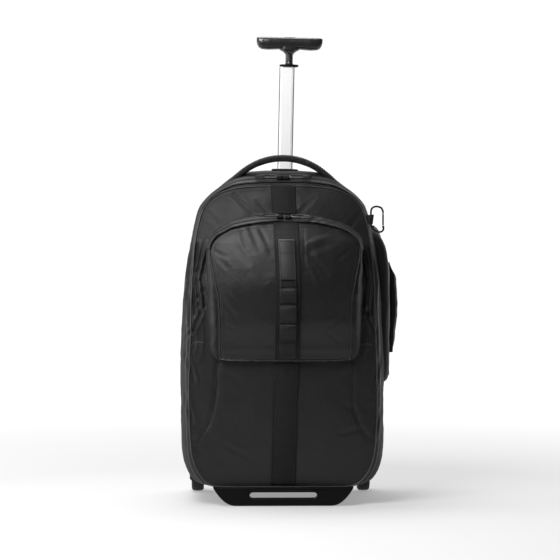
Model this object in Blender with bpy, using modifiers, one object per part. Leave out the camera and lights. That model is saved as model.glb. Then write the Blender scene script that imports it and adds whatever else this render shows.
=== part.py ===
"""A wheeled backpack with a telescoping pull handle, in metres.

+Z is up and the front faces -Y, so +X is on the right of the front view.
The origin is under the middle of the foot plate, on the surface that the bag stands on.
The bag itself is a hollow cloth shell, closed behind by a padded back panel.
"""
import math

import bmesh
import bpy
from mathutils import Matrix, Vector

# Overall form of the bag
BODY_HALF_WIDTH = 0.204
BODY_BASE_Z = 0.036
BODY_HEIGHT = 0.625
FRONT_Y = 0.004
FRONT_CROWN = 0.024
TOP_LEAN = 0.028
TOP_RISE = 0.008
WIDEST_Y = 0.095
BACK_Y = 0.246
BACK_NARROWING = 0.975
BODY_WALL = 0.003

# Padded back
BACK_PANEL_THICKNESS = 0.022
BACK_PANEL_FLAT_SHARE = 0.88

# Front pocket
POCKET_HALF_WIDTH = 0.153
POCKET_BASE_SHARE = 0.392
POCKET_BASE_Z = BODY_BASE_Z + BODY_HEIGHT * POCKET_BASE_SHARE
POCKET_HEIGHT = 0.289
POCKET_DEPTH = 0.036
POCKET_CROWN = 0.015
POCKET_SHIFT_X = 0.003
POCKET_WALL = 0.0025

# Side pocket
SIDE_POCKET_Y = 0.118
SIDE_POCKET_HALF_WIDTH = 0.075
SIDE_POCKET_BASE_SHARE = 0.32
SIDE_POCKET_BASE_Z = BODY_BASE_Z + BODY_HEIGHT * SIDE_POCKET_BASE_SHARE
SIDE_POCKET_HEIGHT = 0.318
SIDE_POCKET_DEPTH = 0.024
SIDE_POCKET_WALL = 0.0025

# Webbing
STRAP_WIDTH = 0.049
STRAP_THICKNESS = 0.0018
DAISY_WIDTH = 0.032
DAISY_THICKNESS = 0.002
DAISY_LOOP_LIFT = 0.007
LABEL_THICKNESS = 0.002
LABEL_TOP_SHARE = 0.8235
LABEL_TOP_Z = POCKET_BASE_Z + POCKET_HEIGHT * LABEL_TOP_SHARE
LABEL_HEIGHT = 0.080
DAISY_END_HEIGHT = 0.009
DAISY_END_Z = POCKET_BASE_Z + DAISY_END_HEIGHT
STRAP_END_GAP = 0.003

# Handles of cloth
GRAB_SPAN_SHARE = 0.54
GRAB_HALF_SPAN = BODY_HALF_WIDTH * GRAB_SPAN_SHARE
GRAB_RISE = 0.058
GRAB_DROP = 0.029
GRAB_BASE_Z = BODY_BASE_Z + BODY_HEIGHT - GRAB_DROP
GRAB_Y = 0.058
GRAB_THICKNESS = 0.011
GRAB_DEPTH = 0.028
SIDE_HANDLE_TOP_SHARE = 0.761
SIDE_HANDLE_TOP_Z = SIDE_POCKET_BASE_Z + SIDE_POCKET_HEIGHT * SIDE_HANDLE_TOP_SHARE
SIDE_HANDLE_LENGTH = 0.182
SIDE_HANDLE_WIDTH = 0.030
SIDE_HANDLE_THICKNESS = 0.016

# Carabiner and its tab
CLIP_X_SHARE = 0.9118
CLIP_Z_SHARE = 0.8416
CLIP_X = BODY_HALF_WIDTH * CLIP_X_SHARE
CLIP_Z = BODY_BASE_Z + BODY_HEIGHT * CLIP_Z_SHARE
CLIP_SET_BACK = 0.024
CLIP_Y = FRONT_Y + CLIP_SET_BACK
CLIP_WIDTH = 0.024
CLIP_HEIGHT = 0.052
CLIP_WIRE_RADIUS = 0.0019
GATE_SHARE = 0.48
TAB_WIDTH = 0.019
TAB_THICKNESS = 0.009
TAB_LENGTH = 0.0284
TAB_END_MARGIN = 0.004

# Zippers
COIL_RADIUS = 0.0024
TOP_ZIPPER_SHARE = 0.27
TOP_ZIPPER_END_SHARE = 0.87
TOP_ZIPPER_END_Z = BODY_BASE_Z + BODY_HEIGHT * TOP_ZIPPER_END_SHARE
POCKET_ZIPPER_SHARE = 0.30
POCKET_ZIPPER_END_SHARE = 0.7578
POCKET_ZIPPER_END_Z = POCKET_BASE_Z + POCKET_HEIGHT * POCKET_ZIPPER_END_SHARE
POCKET_PULL_SAG = 0.004
SLIDER_LENGTH = 0.013
SLIDER_WIDTH = 0.009
SLIDER_HEIGHT = 0.0045
PULL_LENGTH = 0.043
PULL_WIDTH = 0.011
PULL_WIRE_RADIUS = 0.0016

# Foot plate
FOOT_HALF_WIDTH = 0.138
FOOT_BASE_HALF_WIDTH = 0.094
FOOT_DEPTH = 0.024
SLOT_HALF_WIDTH = 0.066
SLOT_LOW_Z = 0.014
SLOT_HIGH_Z = 0.0262

# Rear base and wheels
STEP_Y = 0.214
STEP_Z = 0.106
BASE_BACK_Y = 0.272
BASE_LOW_Z = 0.025
BASE_LOW_HALF_WIDTH = 0.1895
WHEEL_RADIUS = 0.040
WHEEL_WIDTH = 0.025
WHEEL_INSET = 0.016
WHEEL_X = BASE_LOW_HALF_WIDTH - WHEEL_INSET
AXLE_Y = 0.262
AXLE_RADIUS = 0.004
AXLE_HEAD_RADIUS = 0.0075
AXLE_HEAD_THICKNESS = 0.002
HEAD_MARGIN = 0.002
TYRE_CROWN = 0.004
BASE_EDGE = 0.004
WELL_CLEARANCE = 0.005
AXLE_TAIL = WHEEL_WIDTH / 2 + 0.012
BORE_REACH = WHEEL_WIDTH * 2.4

# Pull handle
POLE_Y = 0.2285
POLE_PIVOT_Z = 0.28
POLE_LEAN = math.radians(1.23)
POLE_WIDTH = 0.032
POLE_DEPTH = 0.0125
POLE_WALL = 0.0012
POLE_SHOWN = 0.225
POLE_TOP_Z = BODY_BASE_Z + BODY_HEIGHT + POLE_SHOWN
POLE_ENGAGED = 0.120
SLEEVE_WALL = 0.0015
SLEEVE_FOOT_GAP = 0.0004
BEZEL_WIDTH = 0.052
BEZEL_DEPTH = 0.031
BEZEL_RISE = 0.004
BEZEL_DROP = 0.016
BEZEL_EDGE = 0.002
CAP_WIDTH = 0.040
CAP_DEPTH = 0.022
CAP_HEIGHT = 0.0045
CAP_EDGE = 0.0012
GRIP_SHIFT_X = 0.004
GRIP_WIDTH = 0.1375
GRIP_HEIGHT = 0.0265
GRIP_DEPTH = 0.029
NECK_WIDTH = 0.0155
NECK_DEPTH = 0.0165
NECK_HEIGHT = 0.0435
NECK_FLARE_HEIGHT = 0.012
NECK_FLARE = 1.6
BUTTON_LENGTH = 0.026
BUTTON_WIDTH = 0.012
BUTTON_HEIGHT = 0.002
BUTTON_EDGE = 0.0008
CUT_MARGIN = 0.01

# Fits
CLEARANCE = 0.0003
CLOTH_CLEARANCE = 0.0005
RUNNING_CLEARANCE = 0.0005

# Right half of the bag's outlines, from the top middle down to the bottom middle.
# Columns: front seam x and z, then widest section x and z, as shares of half width and height.
BODY_OUTLINE = [
    (0.000, 0.947, 0.000, 1.000),
    (0.270, 0.945, 0.245, 0.998),
    (0.466, 0.938, 0.451, 0.988),
    (0.598, 0.925, 0.618, 0.950),
    (0.696, 0.905, 0.735, 0.916),
    (0.765, 0.875, 0.819, 0.880),
    (0.814, 0.827, 0.863, 0.826),
    (0.848, 0.766, 0.902, 0.761),
    (0.873, 0.686, 0.941, 0.686),
    (0.885, 0.591, 0.973, 0.591),
    (0.887, 0.495, 0.988, 0.495),
    (0.902, 0.391, 1.000, 0.391),
    (0.907, 0.279, 0.993, 0.279),
    (0.897, 0.167, 0.990, 0.158),
    (0.873, 0.095, 0.975, 0.087),
    (0.814, 0.044, 0.931, 0.036),
    (0.696, 0.006, 0.833, 0.005),
    (0.490, 0.000, 0.564, 0.000),
    (0.245, 0.000, 0.270, 0.000),
    (0.000, 0.000, 0.000, 0.000),
]

# Right half of the front pocket, in the same order.
# Columns: face edge x and z, then seam on the bag x and z, as shares of half width and height.
POCKET_OUTLINE = [
    (0.000, 0.945, 0.000, 1.000),
    (0.327, 0.936, 0.340, 0.993),
    (0.588, 0.913, 0.627, 0.965),
    (0.797, 0.872, 0.837, 0.917),
    (0.915, 0.820, 0.961, 0.848),
    (0.954, 0.765, 1.000, 0.768),
    (0.935, 0.671, 1.000, 0.654),
    (0.889, 0.557, 0.993, 0.533),
    (0.843, 0.429, 0.987, 0.412),
    (0.830, 0.273, 0.980, 0.256),
    (0.830, 0.118, 0.974, 0.107),
    (0.824, 0.040, 0.928, 0.030),
    (0.752, 0.022, 0.804, 0.006),
    (0.392, 0.018, 0.392, 0.000),
    (0.000, 0.018, 0.000, 0.000),
]

# How far the front pocket stands out at each height.
# Columns: share of the pocket's height, share of its depth.
POCKET_SWELL = [
    (0.00, 0.26),
    (0.10, 0.50),
    (0.30, 0.84),
    (0.55, 1.00),
    (0.80, 0.95),
    (0.92, 0.74),
    (1.00, 0.46),
]

# Half outline of the side pocket, from its top to its bottom.
# Columns: face edge across and up, then seam across and up, as shares of half width and height.
SIDE_POCKET_OUTLINE = [
    (0.00, 0.930, 0.00, 1.000),
    (0.42, 0.925, 0.46, 0.990),
    (0.74, 0.870, 0.82, 0.930),
    (0.86, 0.760, 0.97, 0.800),
    (0.88, 0.560, 1.00, 0.560),
    (0.88, 0.340, 1.00, 0.330),
    (0.86, 0.160, 0.97, 0.130),
    (0.72, 0.070, 0.82, 0.025),
    (0.40, 0.045, 0.44, 0.000),
    (0.00, 0.045, 0.00, 0.000),
]

# Columns: share of the side pocket's height, share of its depth.
SIDE_POCKET_SWELL = [
    (0.00, 0.20),
    (0.08, 0.42),
    (0.25, 0.56),
    (0.50, 0.74),
    (0.72, 1.00),
    (0.86, 0.92),
    (0.95, 0.60),
    (1.00, 0.25),
]

# Sideways drift of the centre strap, which the full pocket pulls a little to the right.
# Columns: share of the bag's height, offset as a share of the strap's width.
STRAP_DRIFT = [
    (0.00, 0.00),
    (0.25, 0.05),
    (0.42, 0.15),
    (0.65, 0.16),
    (0.80, 0.10),
    (0.92, 0.00),
    (1.00, 0.00),
]

# Soft folds in the front pocket's face.
# Columns: start x, start z, end x, end z as shares of its half width and height,
# then width as a share of the half width and depth as a share of the pocket's depth.
POCKET_FOLDS = [
    (0.82, 0.84, 0.26, 0.62, 0.10, 0.070),
    (0.88, 0.72, 0.30, 0.48, 0.09, 0.055),
    (-0.80, 0.86, -0.24, 0.66, 0.10, 0.060),
    (-0.84, 0.66, -0.34, 0.52, 0.09, 0.050),
    (-0.78, 0.30, -0.46, 0.44, 0.11, 0.060),
    (0.74, 0.22, 0.40, 0.40, 0.11, 0.045),
]

# Upright folds in the bag's sides, where the cloth hangs between its seams.
# Columns: y as a share of the depth, middle z and half length as shares of the height,
# then depth as a share of the half width.
SIDE_FOLDS = [
    (0.30, 0.52, 0.26, 0.010),
    (0.58, 0.44, 0.30, 0.013),
    (0.80, 0.55, 0.24, 0.009),
]

# Padding of the side handle from its top to its bottom.
# Columns: share of its length, share of its thickness.
SIDE_HANDLE_PADDING = [
    (0.00, 0.14),
    (0.19, 0.84),
    (0.39, 1.00),
    (0.57, 0.94),
    (0.80, 0.66),
    (1.00, 0.38),
]

# Sections of the T grip along its half length, with a shallow seat for its button in the middle.
# Columns: share of half width, then top, bottom and depth as shares of the grip's height and depth.
GRIP_SECTIONS = [
    (1.00, 0.91, 0.60, 0.46),
    (0.98, 0.96, 0.37, 0.68),
    (0.93, 0.99, 0.17, 0.84),
    (0.84, 1.00, 0.04, 0.94),
    (0.64, 1.00, 0.00, 1.00),
    (0.32, 1.00, 0.05, 0.98),
    (0.23, 0.93, 0.06, 0.97),
    (0.00, 0.93, 0.08, 0.96),
]

# The two sides, for wheels and zipper pulls: -1 is to the left and 1 to the right.
SIDES = (("left", -1), ("right", 1))


def clear_scene():
    for old in list(bpy.data.objects):
        bpy.data.objects.remove(old, do_unlink=True)


def make_collection(name):
    group = bpy.data.collections.new(name)
    bpy.context.scene.collection.children.link(group)
    return group


def make_material(name, colour, roughness, metallic=0.0):
    material = bpy.data.materials.new(name)
    material.use_nodes = True
    shader = material.node_tree.nodes["Principled BSDF"]
    shader.inputs["Base Color"].default_value = (*colour, 1.0)
    shader.inputs["Roughness"].default_value = roughness
    shader.inputs["Metallic"].default_value = metallic
    return material


clear_scene()
PARTS = make_collection("wheeled_backpack")
CUTTERS = make_collection("cutters")
COATED_CLOTH = make_material("coated_cloth", (0.030, 0.030, 0.032), 0.50)
PADDED_CLOTH = make_material("padded_cloth", (0.022, 0.022, 0.023), 0.75)
WEBBING = make_material("webbing", (0.016, 0.016, 0.017), 0.80)
PATCH = make_material("patch", (0.035, 0.035, 0.036), 0.55)
ZIPPER = make_material("zipper", (0.010, 0.010, 0.011), 0.45)
MOULDED = make_material("moulded_plastic", (0.012, 0.012, 0.013), 0.45)
TYRE = make_material("tyre", (0.020, 0.020, 0.022), 0.60)
STEEL = make_material("steel", (0.45, 0.45, 0.46), 0.30, 1.0)
CLIP_METAL = make_material("clip_metal", (0.06, 0.06, 0.065), 0.35, 1.0)
POLE_METAL = make_material("pole_metal", (0.86, 0.86, 0.87), 0.25, 1.0)
GLOSSY = make_material("glossy_plastic", (0.014, 0.014, 0.015), 0.18)


def clamp(value, low=0.0, high=1.0):
    return max(low, min(high, value))


def smooth_step(value):
    share = clamp(value)
    return share * share * (3 - 2 * share)


def table_value(rows, at):
    """The second column of a two-column table, eased between its rows."""
    if at <= rows[0][0]:
        return rows[0][1]
    for low, high in zip(rows, rows[1:]):
        if at <= high[0]:
            share = smooth_step((at - low[0]) / (high[0] - low[0]))
            return low[1] + (high[1] - low[1]) * share
    return rows[-1][1]


def scaled_rows(rows, half_width, base, height):
    """Turns an outline's shares into metres: (inner x, inner z, outer x, outer z)."""
    return [
        (
            half_width * row[0],
            base + height * row[1],
            half_width * row[2],
            base + height * row[3],
        )
        for row in rows
    ]


def refine(rows, longest):
    """Adds a smooth middle row wherever two rows lie further apart than longest."""
    finer = []
    for index, row in enumerate(rows[:-1]):
        after = rows[index + 1]
        finer.append(row)
        gap = math.hypot(after[2] - row[2], after[3] - row[3])
        if gap > longest:
            before = rows[max(index - 1, 0)]
            beyond = rows[min(index + 2, len(rows) - 1)]
            finer.append(
                tuple(
                    (9 * (a + b) - c - d) / 16
                    for a, b, c, d in zip(row, after, before, beyond)
                )
            )
    finer.append(rows[-1])
    return finer


def whole_loop(rows):
    """Mirrors a right half into a loop that runs round the whole outline."""
    left = [(-row[0], row[1], -row[2], row[3]) for row in rows[-2:0:-1]]
    return rows + left


def link_mesh(name, mesh, material, collection=None):
    thing = bpy.data.objects.new(name, mesh)
    (collection or PARTS).objects.link(thing)
    if material:
        mesh.materials.append(material)
    return thing


def finish_mesh(name, work, material, collection=None, smooth=True):
    mesh = bpy.data.meshes.new(name)
    work.to_mesh(mesh)
    work.free()
    if smooth:
        mesh.shade_smooth()
        mesh.set_sharp_from_angle(angle=math.radians(40))
    return link_mesh(name, mesh, material, collection)


def loft(name, rings, material, caps=(True, True), collection=None):
    """Joins rings of equally many points by quads, and closes the ends that caps names."""
    work = bmesh.new()
    loops = [[work.verts.new(point) for point in ring] for ring in rings]
    for low, high in zip(loops, loops[1:]):
        for index, vert in enumerate(low):
            after = (index + 1) % len(low)
            work.faces.new((vert, low[after], high[after], high[index]))
    for close, loop in zip(caps, (loops[0], loops[-1])):
        if close:
            work.faces.new(loop)
    bmesh.ops.recalc_face_normals(work, faces=work.faces)
    return finish_mesh(name, work, material, collection)


def domed_surface(name, loops, middle, material, collection=None, close=False, grow=0.0):
    """A pouch-like surface: a fan round its middle point, then loops out to its rim."""
    work = bmesh.new()
    centre = work.verts.new(middle)
    rings = [[work.verts.new(point) for point in loop] for loop in loops]
    first = rings[0]
    for index, vert in enumerate(first):
        work.faces.new((centre, vert, first[(index + 1) % len(first)]))
    for low, high in zip(rings, rings[1:]):
        for index, vert in enumerate(low):
            after = (index + 1) % len(low)
            work.faces.new((vert, high[index], high[after], low[after]))
    if close:
        work.faces.new(list(reversed(rings[-1])))
    bmesh.ops.recalc_face_normals(work, faces=work.faces)
    heart = sum((vert.co for vert in work.verts), Vector()) / len(work.verts)
    outward = sum((face.normal.dot(face.calc_center_median() - heart) for face in work.faces))
    if outward < 0:
        bmesh.ops.reverse_faces(work, faces=work.faces)
    if grow:
        work.normal_update()
        for vert in work.verts:
            vert.co += vert.normal * grow
    return finish_mesh(name, work, material, collection)


def hollow_out(thing, wall):
    """Gives an open surface its wall, inwards."""
    solid = thing.modifiers.new("wall", "SOLIDIFY")
    solid.thickness = wall
    solid.offset = -1
    solid.use_even_offset = True
    solid.use_quality_normals = True


def hide_cutter(cutter):
    cutter.hide_render = True
    cutter.display_type = "WIRE"
    return cutter


def boolean(thing, other, operation):
    step = thing.modifiers.new(operation.lower(), "BOOLEAN")
    step.object = other
    step.operation = operation
    step.solver = "EXACT"


def bevel(thing, width, segments=2, angle=35):
    step = thing.modifiers.new("bevel", "BEVEL")
    step.width = width
    step.segments = segments
    step.limit_method = "ANGLE"
    step.angle_limit = math.radians(angle)


def rounded_box(name, size, place, material, edge, segments=2, collection=None):
    bpy.ops.mesh.primitive_cube_add(size=1)
    thing = bpy.context.object
    thing.name = name
    thing.data.transform(Matrix.Diagonal((*size, 1)))
    thing.location = place
    for group in list(thing.users_collection):
        group.objects.unlink(thing)
    (collection or PARTS).objects.link(thing)
    if material:
        thing.data.materials.append(material)
    if edge:
        bevel(thing, edge, segments)
    return thing


def turned(name, profile, sides, material, collection=None):
    """Turns (radius, height) pairs round Z, from the top down the outer side."""
    mesh = bpy.data.meshes.new(name)
    points = [(radius, 0, height) for radius, height in profile]
    edges = [(index, index + 1) for index in range(len(points) - 1)]
    mesh.from_pydata(points, edges, [])
    thing = link_mesh(name, mesh, material, collection)
    screw = thing.modifiers.new("turn", "SCREW")
    screw.steps = sides
    screw.render_steps = sides
    screw.use_merge_vertices = True
    screw.merge_threshold = 0.00005
    screw.use_smooth_shade = True
    return thing


def wire(name, points, radius, material, closed=False, resolution=2, collection=None):
    """A round wire along points, as a mesh with its end caps welded."""
    path = bpy.data.curves.new(name, "CURVE")
    path.dimensions = "3D"
    path.bevel_depth = radius
    path.bevel_resolution = resolution
    path.use_fill_caps = not closed
    spline = path.splines.new("POLY")
    spline.points.add(len(points) - 1)
    for spot, point in zip(spline.points, points):
        spot.co = (*point, 1)
    spline.use_cyclic_u = closed
    guide = bpy.data.objects.new(name + "_path", path)
    CUTTERS.objects.link(guide)
    depsgraph = bpy.context.evaluated_depsgraph_get()
    mesh = bpy.data.meshes.new_from_object(guide.evaluated_get(depsgraph))
    bpy.data.objects.remove(guide, do_unlink=True)
    work = bmesh.new()
    work.from_mesh(mesh)
    bmesh.ops.remove_doubles(work, verts=work.verts, dist=0.00001)
    bmesh.ops.recalc_face_normals(work, faces=work.faces)
    return finish_mesh(name, work, material, collection)


# Surfaces of the bag, which everything sewn on it follows

BODY_ROWS = refine(
    scaled_rows(BODY_OUTLINE, BODY_HALF_WIDTH, BODY_BASE_Z, BODY_HEIGHT), BODY_HEIGHT * 0.088
)
BODY_MIDDLE_Z = BODY_BASE_Z + BODY_HEIGHT / 2
FRONT_HALF_WIDTH = max(row[0] for row in BODY_ROWS)


def front_y(x, z):
    """How far back the front panel lies: crowned in the middle, leaning back near the top."""
    rise = clamp((z - BODY_BASE_Z) / BODY_HEIGHT)
    lean = TOP_LEAN * smooth_step((rise - 0.55) / 0.45)
    across = 1 - clamp(abs(x) / FRONT_HALF_WIDTH) ** 2
    along = 1 - clamp(abs(z - BODY_MIDDLE_Z) / (BODY_HEIGHT / 2)) ** 3
    return FRONT_Y + lean - FRONT_CROWN * across * along


def row_value(rows, z, column):
    """A half outline's x at a height: column 0 is the inner outline and 2 the outer one."""
    side = [row for row in rows if row[column] > 0]
    for high, low in zip(side, side[1:]):
        if low[column + 1] <= z <= high[column + 1]:
            share = (z - low[column + 1]) / (high[column + 1] - low[column + 1])
            return low[column] + (high[column] - low[column]) * share
    return side[0][column] if z > side[0][column + 1] else side[-1][column]


def side_fold(y, z):
    """Depth of the upright folds at a point of the bag's side."""
    depth = 0.0
    for at, middle, half_length, amount in SIDE_FOLDS:
        across = (y / BACK_Y - at) / 0.075
        along = ((z - BODY_BASE_Z) / BODY_HEIGHT - middle) / half_length
        depth += amount * BODY_HALF_WIDTH * math.exp(-across * across) * math.exp(-along ** 4)
    return depth


def side_x(y, z):
    """Half width of the bag at a depth and height, without its folds."""
    widest = row_value(BODY_ROWS, z, 2)
    if y >= WIDEST_Y:
        share = smooth_step((y - WIDEST_Y) / (BACK_Y - WIDEST_Y))
        return widest * (1 + (BACK_NARROWING - 1) * share)
    seam = row_value(BODY_ROWS, z, 0)
    start = front_y(seam, z)
    share = clamp((y - start) / (WIDEST_Y - start))
    return seam + (widest - seam) * math.sin(math.acos(1 - share))


def edge_point(row, share):
    """A point of the rounded edge between an inner and an outer outline."""
    turn = math.pi / 2 * share
    inner_y = front_y(row[0], row[1])
    return Vector(
        (
            row[0] + (row[2] - row[0]) * math.sin(turn),
            inner_y + (WIDEST_Y - inner_y) * (1 - math.cos(turn)),
            row[1] + (row[3] - row[1]) * math.sin(turn),
        )
    )


def body_loops():
    """Loops of the bag from the middle of its front to its open back."""
    rows = whole_loop(BODY_ROWS)
    loops = []
    for share in (0.25, 0.5, 0.72, 0.88, 1.0):
        loop = []
        for row in rows:
            x = row[0] * share
            z = BODY_MIDDLE_Z + (row[1] - BODY_MIDDLE_Z) * share
            loop.append(Vector((x, front_y(x, z), z)))
        loops.append(loop)
    for share in (0.2, TOP_ZIPPER_SHARE, 0.7, 1.0):
        loops.append([edge_point(row, share) for row in rows])
    for share in (0.2, 0.42, 0.64, 0.8):
        y = WIDEST_Y + (BACK_Y - WIDEST_Y) * share
        loops.append([wall_point(row, min(y, STEP_Y)) for row in rows])
    loops[-1] = [wall_point(row, STEP_Y) for row in rows]
    loops.append([raised(point) for point in loops[-1]])
    loops.append([raised(wall_point(row, BACK_Y)) for row in rows])
    return loops


def wall_point(row, y):
    """A point of the bag's side wall behind its widest section."""
    share = smooth_step((y - WIDEST_Y) / (BACK_Y - WIDEST_Y))
    narrowing = 1 + (BACK_NARROWING - 1) * share
    x = row[2] * narrowing
    x -= math.copysign(side_fold(y, row[3]), x) if abs(x) > BODY_HALF_WIDTH * 0.8 else 0
    return Vector((x, y, row[3] + top_rise(y, row[3])))


def top_rise(y, z):
    """The top slopes up a little from the widest section to the back."""
    share = smooth_step((y - WIDEST_Y) / (BACK_Y - WIDEST_Y))
    return TOP_RISE * share * smooth_step(((z - BODY_BASE_Z) / BODY_HEIGHT - 0.85) / 0.13)


def raised(point):
    """Lifts the lower rim behind the step, where the rear base sits."""
    return Vector((point.x, point.y, max(point.z, STEP_Z)))


def main_shell():
    loops = body_loops()
    middle = Vector((0, front_y(0, BODY_MIDDLE_Z), BODY_MIDDLE_Z))
    shell = domed_surface("main_shell", loops, middle, COATED_CLOTH)
    hollow_out(shell, BODY_WALL)
    guard = domed_surface(
        "shell_clearance", loops, middle, None, CUTTERS, close=True, grow=CLOTH_CLEARANCE
    )
    return shell, hide_cutter(guard)


def back_panel():
    """A padded panel over the open back, flat in its middle."""
    rows = whole_loop(BODY_ROWS)
    rim = [raised(wall_point(row, BACK_Y)) for row in rows]
    middle_z = (STEP_Z + BODY_BASE_Z + BODY_HEIGHT + TOP_RISE) / 2
    start = BACK_Y + CLEARANCE

    def ring(scale, y):
        return [
            Vector((point.x * scale, y, middle_z + (point.z - middle_z) * scale)) for point in rim
        ]

    rings = [
        ring(0.985, start),
        ring(1.0, start + BACK_PANEL_THICKNESS * 0.3),
        ring(0.965, start + BACK_PANEL_THICKNESS * 0.8),
        ring(BACK_PANEL_FLAT_SHARE, start + BACK_PANEL_THICKNESS),
    ]
    return loft("back_panel", rings, PADDED_CLOTH)


# Front pocket

POCKET_ROWS = refine(
    scaled_rows(POCKET_OUTLINE, POCKET_HALF_WIDTH, POCKET_BASE_Z, POCKET_HEIGHT),
    POCKET_HEIGHT * 0.156,
)
POCKET_MIDDLE_Z = POCKET_BASE_Z + POCKET_HEIGHT / 2


def pocket_fold(x, z):
    """Depth of the soft folds in the pocket's face, none under the centre strap."""
    depth = 0.0
    across = x / POCKET_HALF_WIDTH
    up = (z - POCKET_BASE_Z) / POCKET_HEIGHT
    for x0, z0, x1, z1, width, amount in POCKET_FOLDS:
        run = Vector((x1 - x0, z1 - z0))
        here = Vector((across - x0, up - z0))
        along = clamp(here.dot(run) / run.length_squared)
        away = (here - run * along).length / width
        depth += amount * POCKET_DEPTH * math.exp(-away * away)
    beside = (abs(x - strap_x(z)) - STRAP_WIDTH / 2) / (STRAP_WIDTH / 2)
    return depth * smooth_step(beside)


def pocket_y(x, z):
    """The pocket's face, ahead of the front panel."""
    up = clamp((z - POCKET_BASE_Z) / POCKET_HEIGHT)
    across = clamp(abs(x - POCKET_SHIFT_X) / POCKET_HALF_WIDTH)
    swell = POCKET_DEPTH * table_value(POCKET_SWELL, up)
    crown = POCKET_CROWN * (1 - across ** 2) * (1 - abs(2 * up - 1) ** 2.5)
    return front_y(x, z) - swell - crown + pocket_fold(x, z)


def pocket_edge_point(row, share):
    """A point of the pocket's gusset, between its face and the bag."""
    turn = math.pi / 2 * share
    face_x = row[0] + POCKET_SHIFT_X
    seam_x = row[2] + POCKET_SHIFT_X
    face = pocket_y(face_x, row[1])
    seam = front_y(seam_x, row[3]) + BODY_WALL
    return Vector(
        (
            face_x + (seam_x - face_x) * math.sin(turn),
            face + (seam - face) * (1 - math.cos(turn)),
            row[1] + (row[3] - row[1]) * math.sin(turn),
        )
    )


def front_pocket(shell_guard):
    rows = whole_loop(POCKET_ROWS)
    loops = []
    for share in (0.2, 0.4, 0.58, 0.74, 0.88, 1.0):
        loop = []
        for row in rows:
            x = row[0] * share + POCKET_SHIFT_X
            z = POCKET_MIDDLE_Z + (row[1] - POCKET_MIDDLE_Z) * share
            loop.append(Vector((x, pocket_y(x, z), z)))
        loops.append(loop)
    for share in (POCKET_ZIPPER_SHARE, 0.62, 1.0):
        loops.append([pocket_edge_point(row, share) for row in rows])
    middle = Vector((POCKET_SHIFT_X, pocket_y(POCKET_SHIFT_X, POCKET_MIDDLE_Z), POCKET_MIDDLE_Z))
    pocket = domed_surface("front_pocket", loops, middle, COATED_CLOTH)
    hollow_out(pocket, POCKET_WALL)
    boolean(pocket, shell_guard, "DIFFERENCE")
    return pocket


# Side pocket and its handle

SIDE_ROWS = scaled_rows(
    SIDE_POCKET_OUTLINE, SIDE_POCKET_HALF_WIDTH, SIDE_POCKET_BASE_Z, SIDE_POCKET_HEIGHT
)
SIDE_MIDDLE_Z = SIDE_POCKET_BASE_Z + SIDE_POCKET_HEIGHT / 2


def side_pocket_x(y, z):
    up = clamp((z - SIDE_POCKET_BASE_Z) / SIDE_POCKET_HEIGHT)
    swell = SIDE_POCKET_DEPTH * table_value(SIDE_POCKET_SWELL, up)
    across = clamp(abs(y - SIDE_POCKET_Y) / SIDE_POCKET_HALF_WIDTH)
    return side_x(y, z) + swell * (1 - 0.3 * across ** 2)


def side_pocket(shell_guard):
    rows = whole_loop(SIDE_ROWS)
    loops = []
    for share in (0.35, 0.65, 0.86, 1.0):
        loop = []
        for row in rows:
            y = row[0] * share + SIDE_POCKET_Y
            z = SIDE_MIDDLE_Z + (row[1] - SIDE_MIDDLE_Z) * share
            loop.append(Vector((side_pocket_x(y, z), y, z)))
        loops.append(loop)
    for share in (0.5, 1.0):
        turn = math.pi / 2 * share
        loop = []
        for row in rows:
            face_y = row[0] + SIDE_POCKET_Y
            seam_y = row[2] + SIDE_POCKET_Y
            face = side_pocket_x(face_y, row[1])
            seam = side_x(seam_y, row[3]) - 2 * BODY_WALL
            loop.append(
                Vector(
                    (
                        face + (seam - face) * (1 - math.cos(turn)),
                        face_y + (seam_y - face_y) * math.sin(turn),
                        row[1] + (row[3] - row[1]) * math.sin(turn),
                    )
                )
            )
        loops.append(loop)
    middle = Vector((side_pocket_x(SIDE_POCKET_Y, SIDE_MIDDLE_Z), SIDE_POCKET_Y, SIDE_MIDDLE_Z))
    pocket = domed_surface("side_pocket", loops, middle, COATED_CLOTH)
    hollow_out(pocket, SIDE_POCKET_WALL)
    boolean(pocket, shell_guard, "DIFFERENCE")
    return pocket


# Webbing laid on the bag


def strap_x(z):
    up = (z - BODY_BASE_Z) / BODY_HEIGHT
    return STRAP_WIDTH * table_value(STRAP_DRIFT, up)


def ribbon(name, heights, width, thickness, place, lift, material, columns=4):
    """A flat strap: place(across, z, off) gives a point off the cloth by a distance."""
    rings = []
    for z in heights:
        near = CLOTH_CLEARANCE + lift(z)
        spots = [width * (index / (columns - 1) - 0.5) for index in range(columns)]
        outer = [place(spot, z, near + thickness) for spot in spots]
        inner = [place(spot, z, near) for spot in reversed(spots)]
        rings.append(outer + inner)
    return loft(name, rings, material)


def spread(top, bottom, count):
    return [top + (bottom - top) * index / (count - 1) for index in range(count)]


def flat(_z):
    return 0.0


def panel_place(across, z, off):
    x = strap_x(z) + across
    return Vector((x, front_y(x, z) - off, z))


def pocket_place(across, z, off):
    x = strap_x(z) + across
    return Vector((x, pocket_y(x, z) - off, z))


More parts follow.
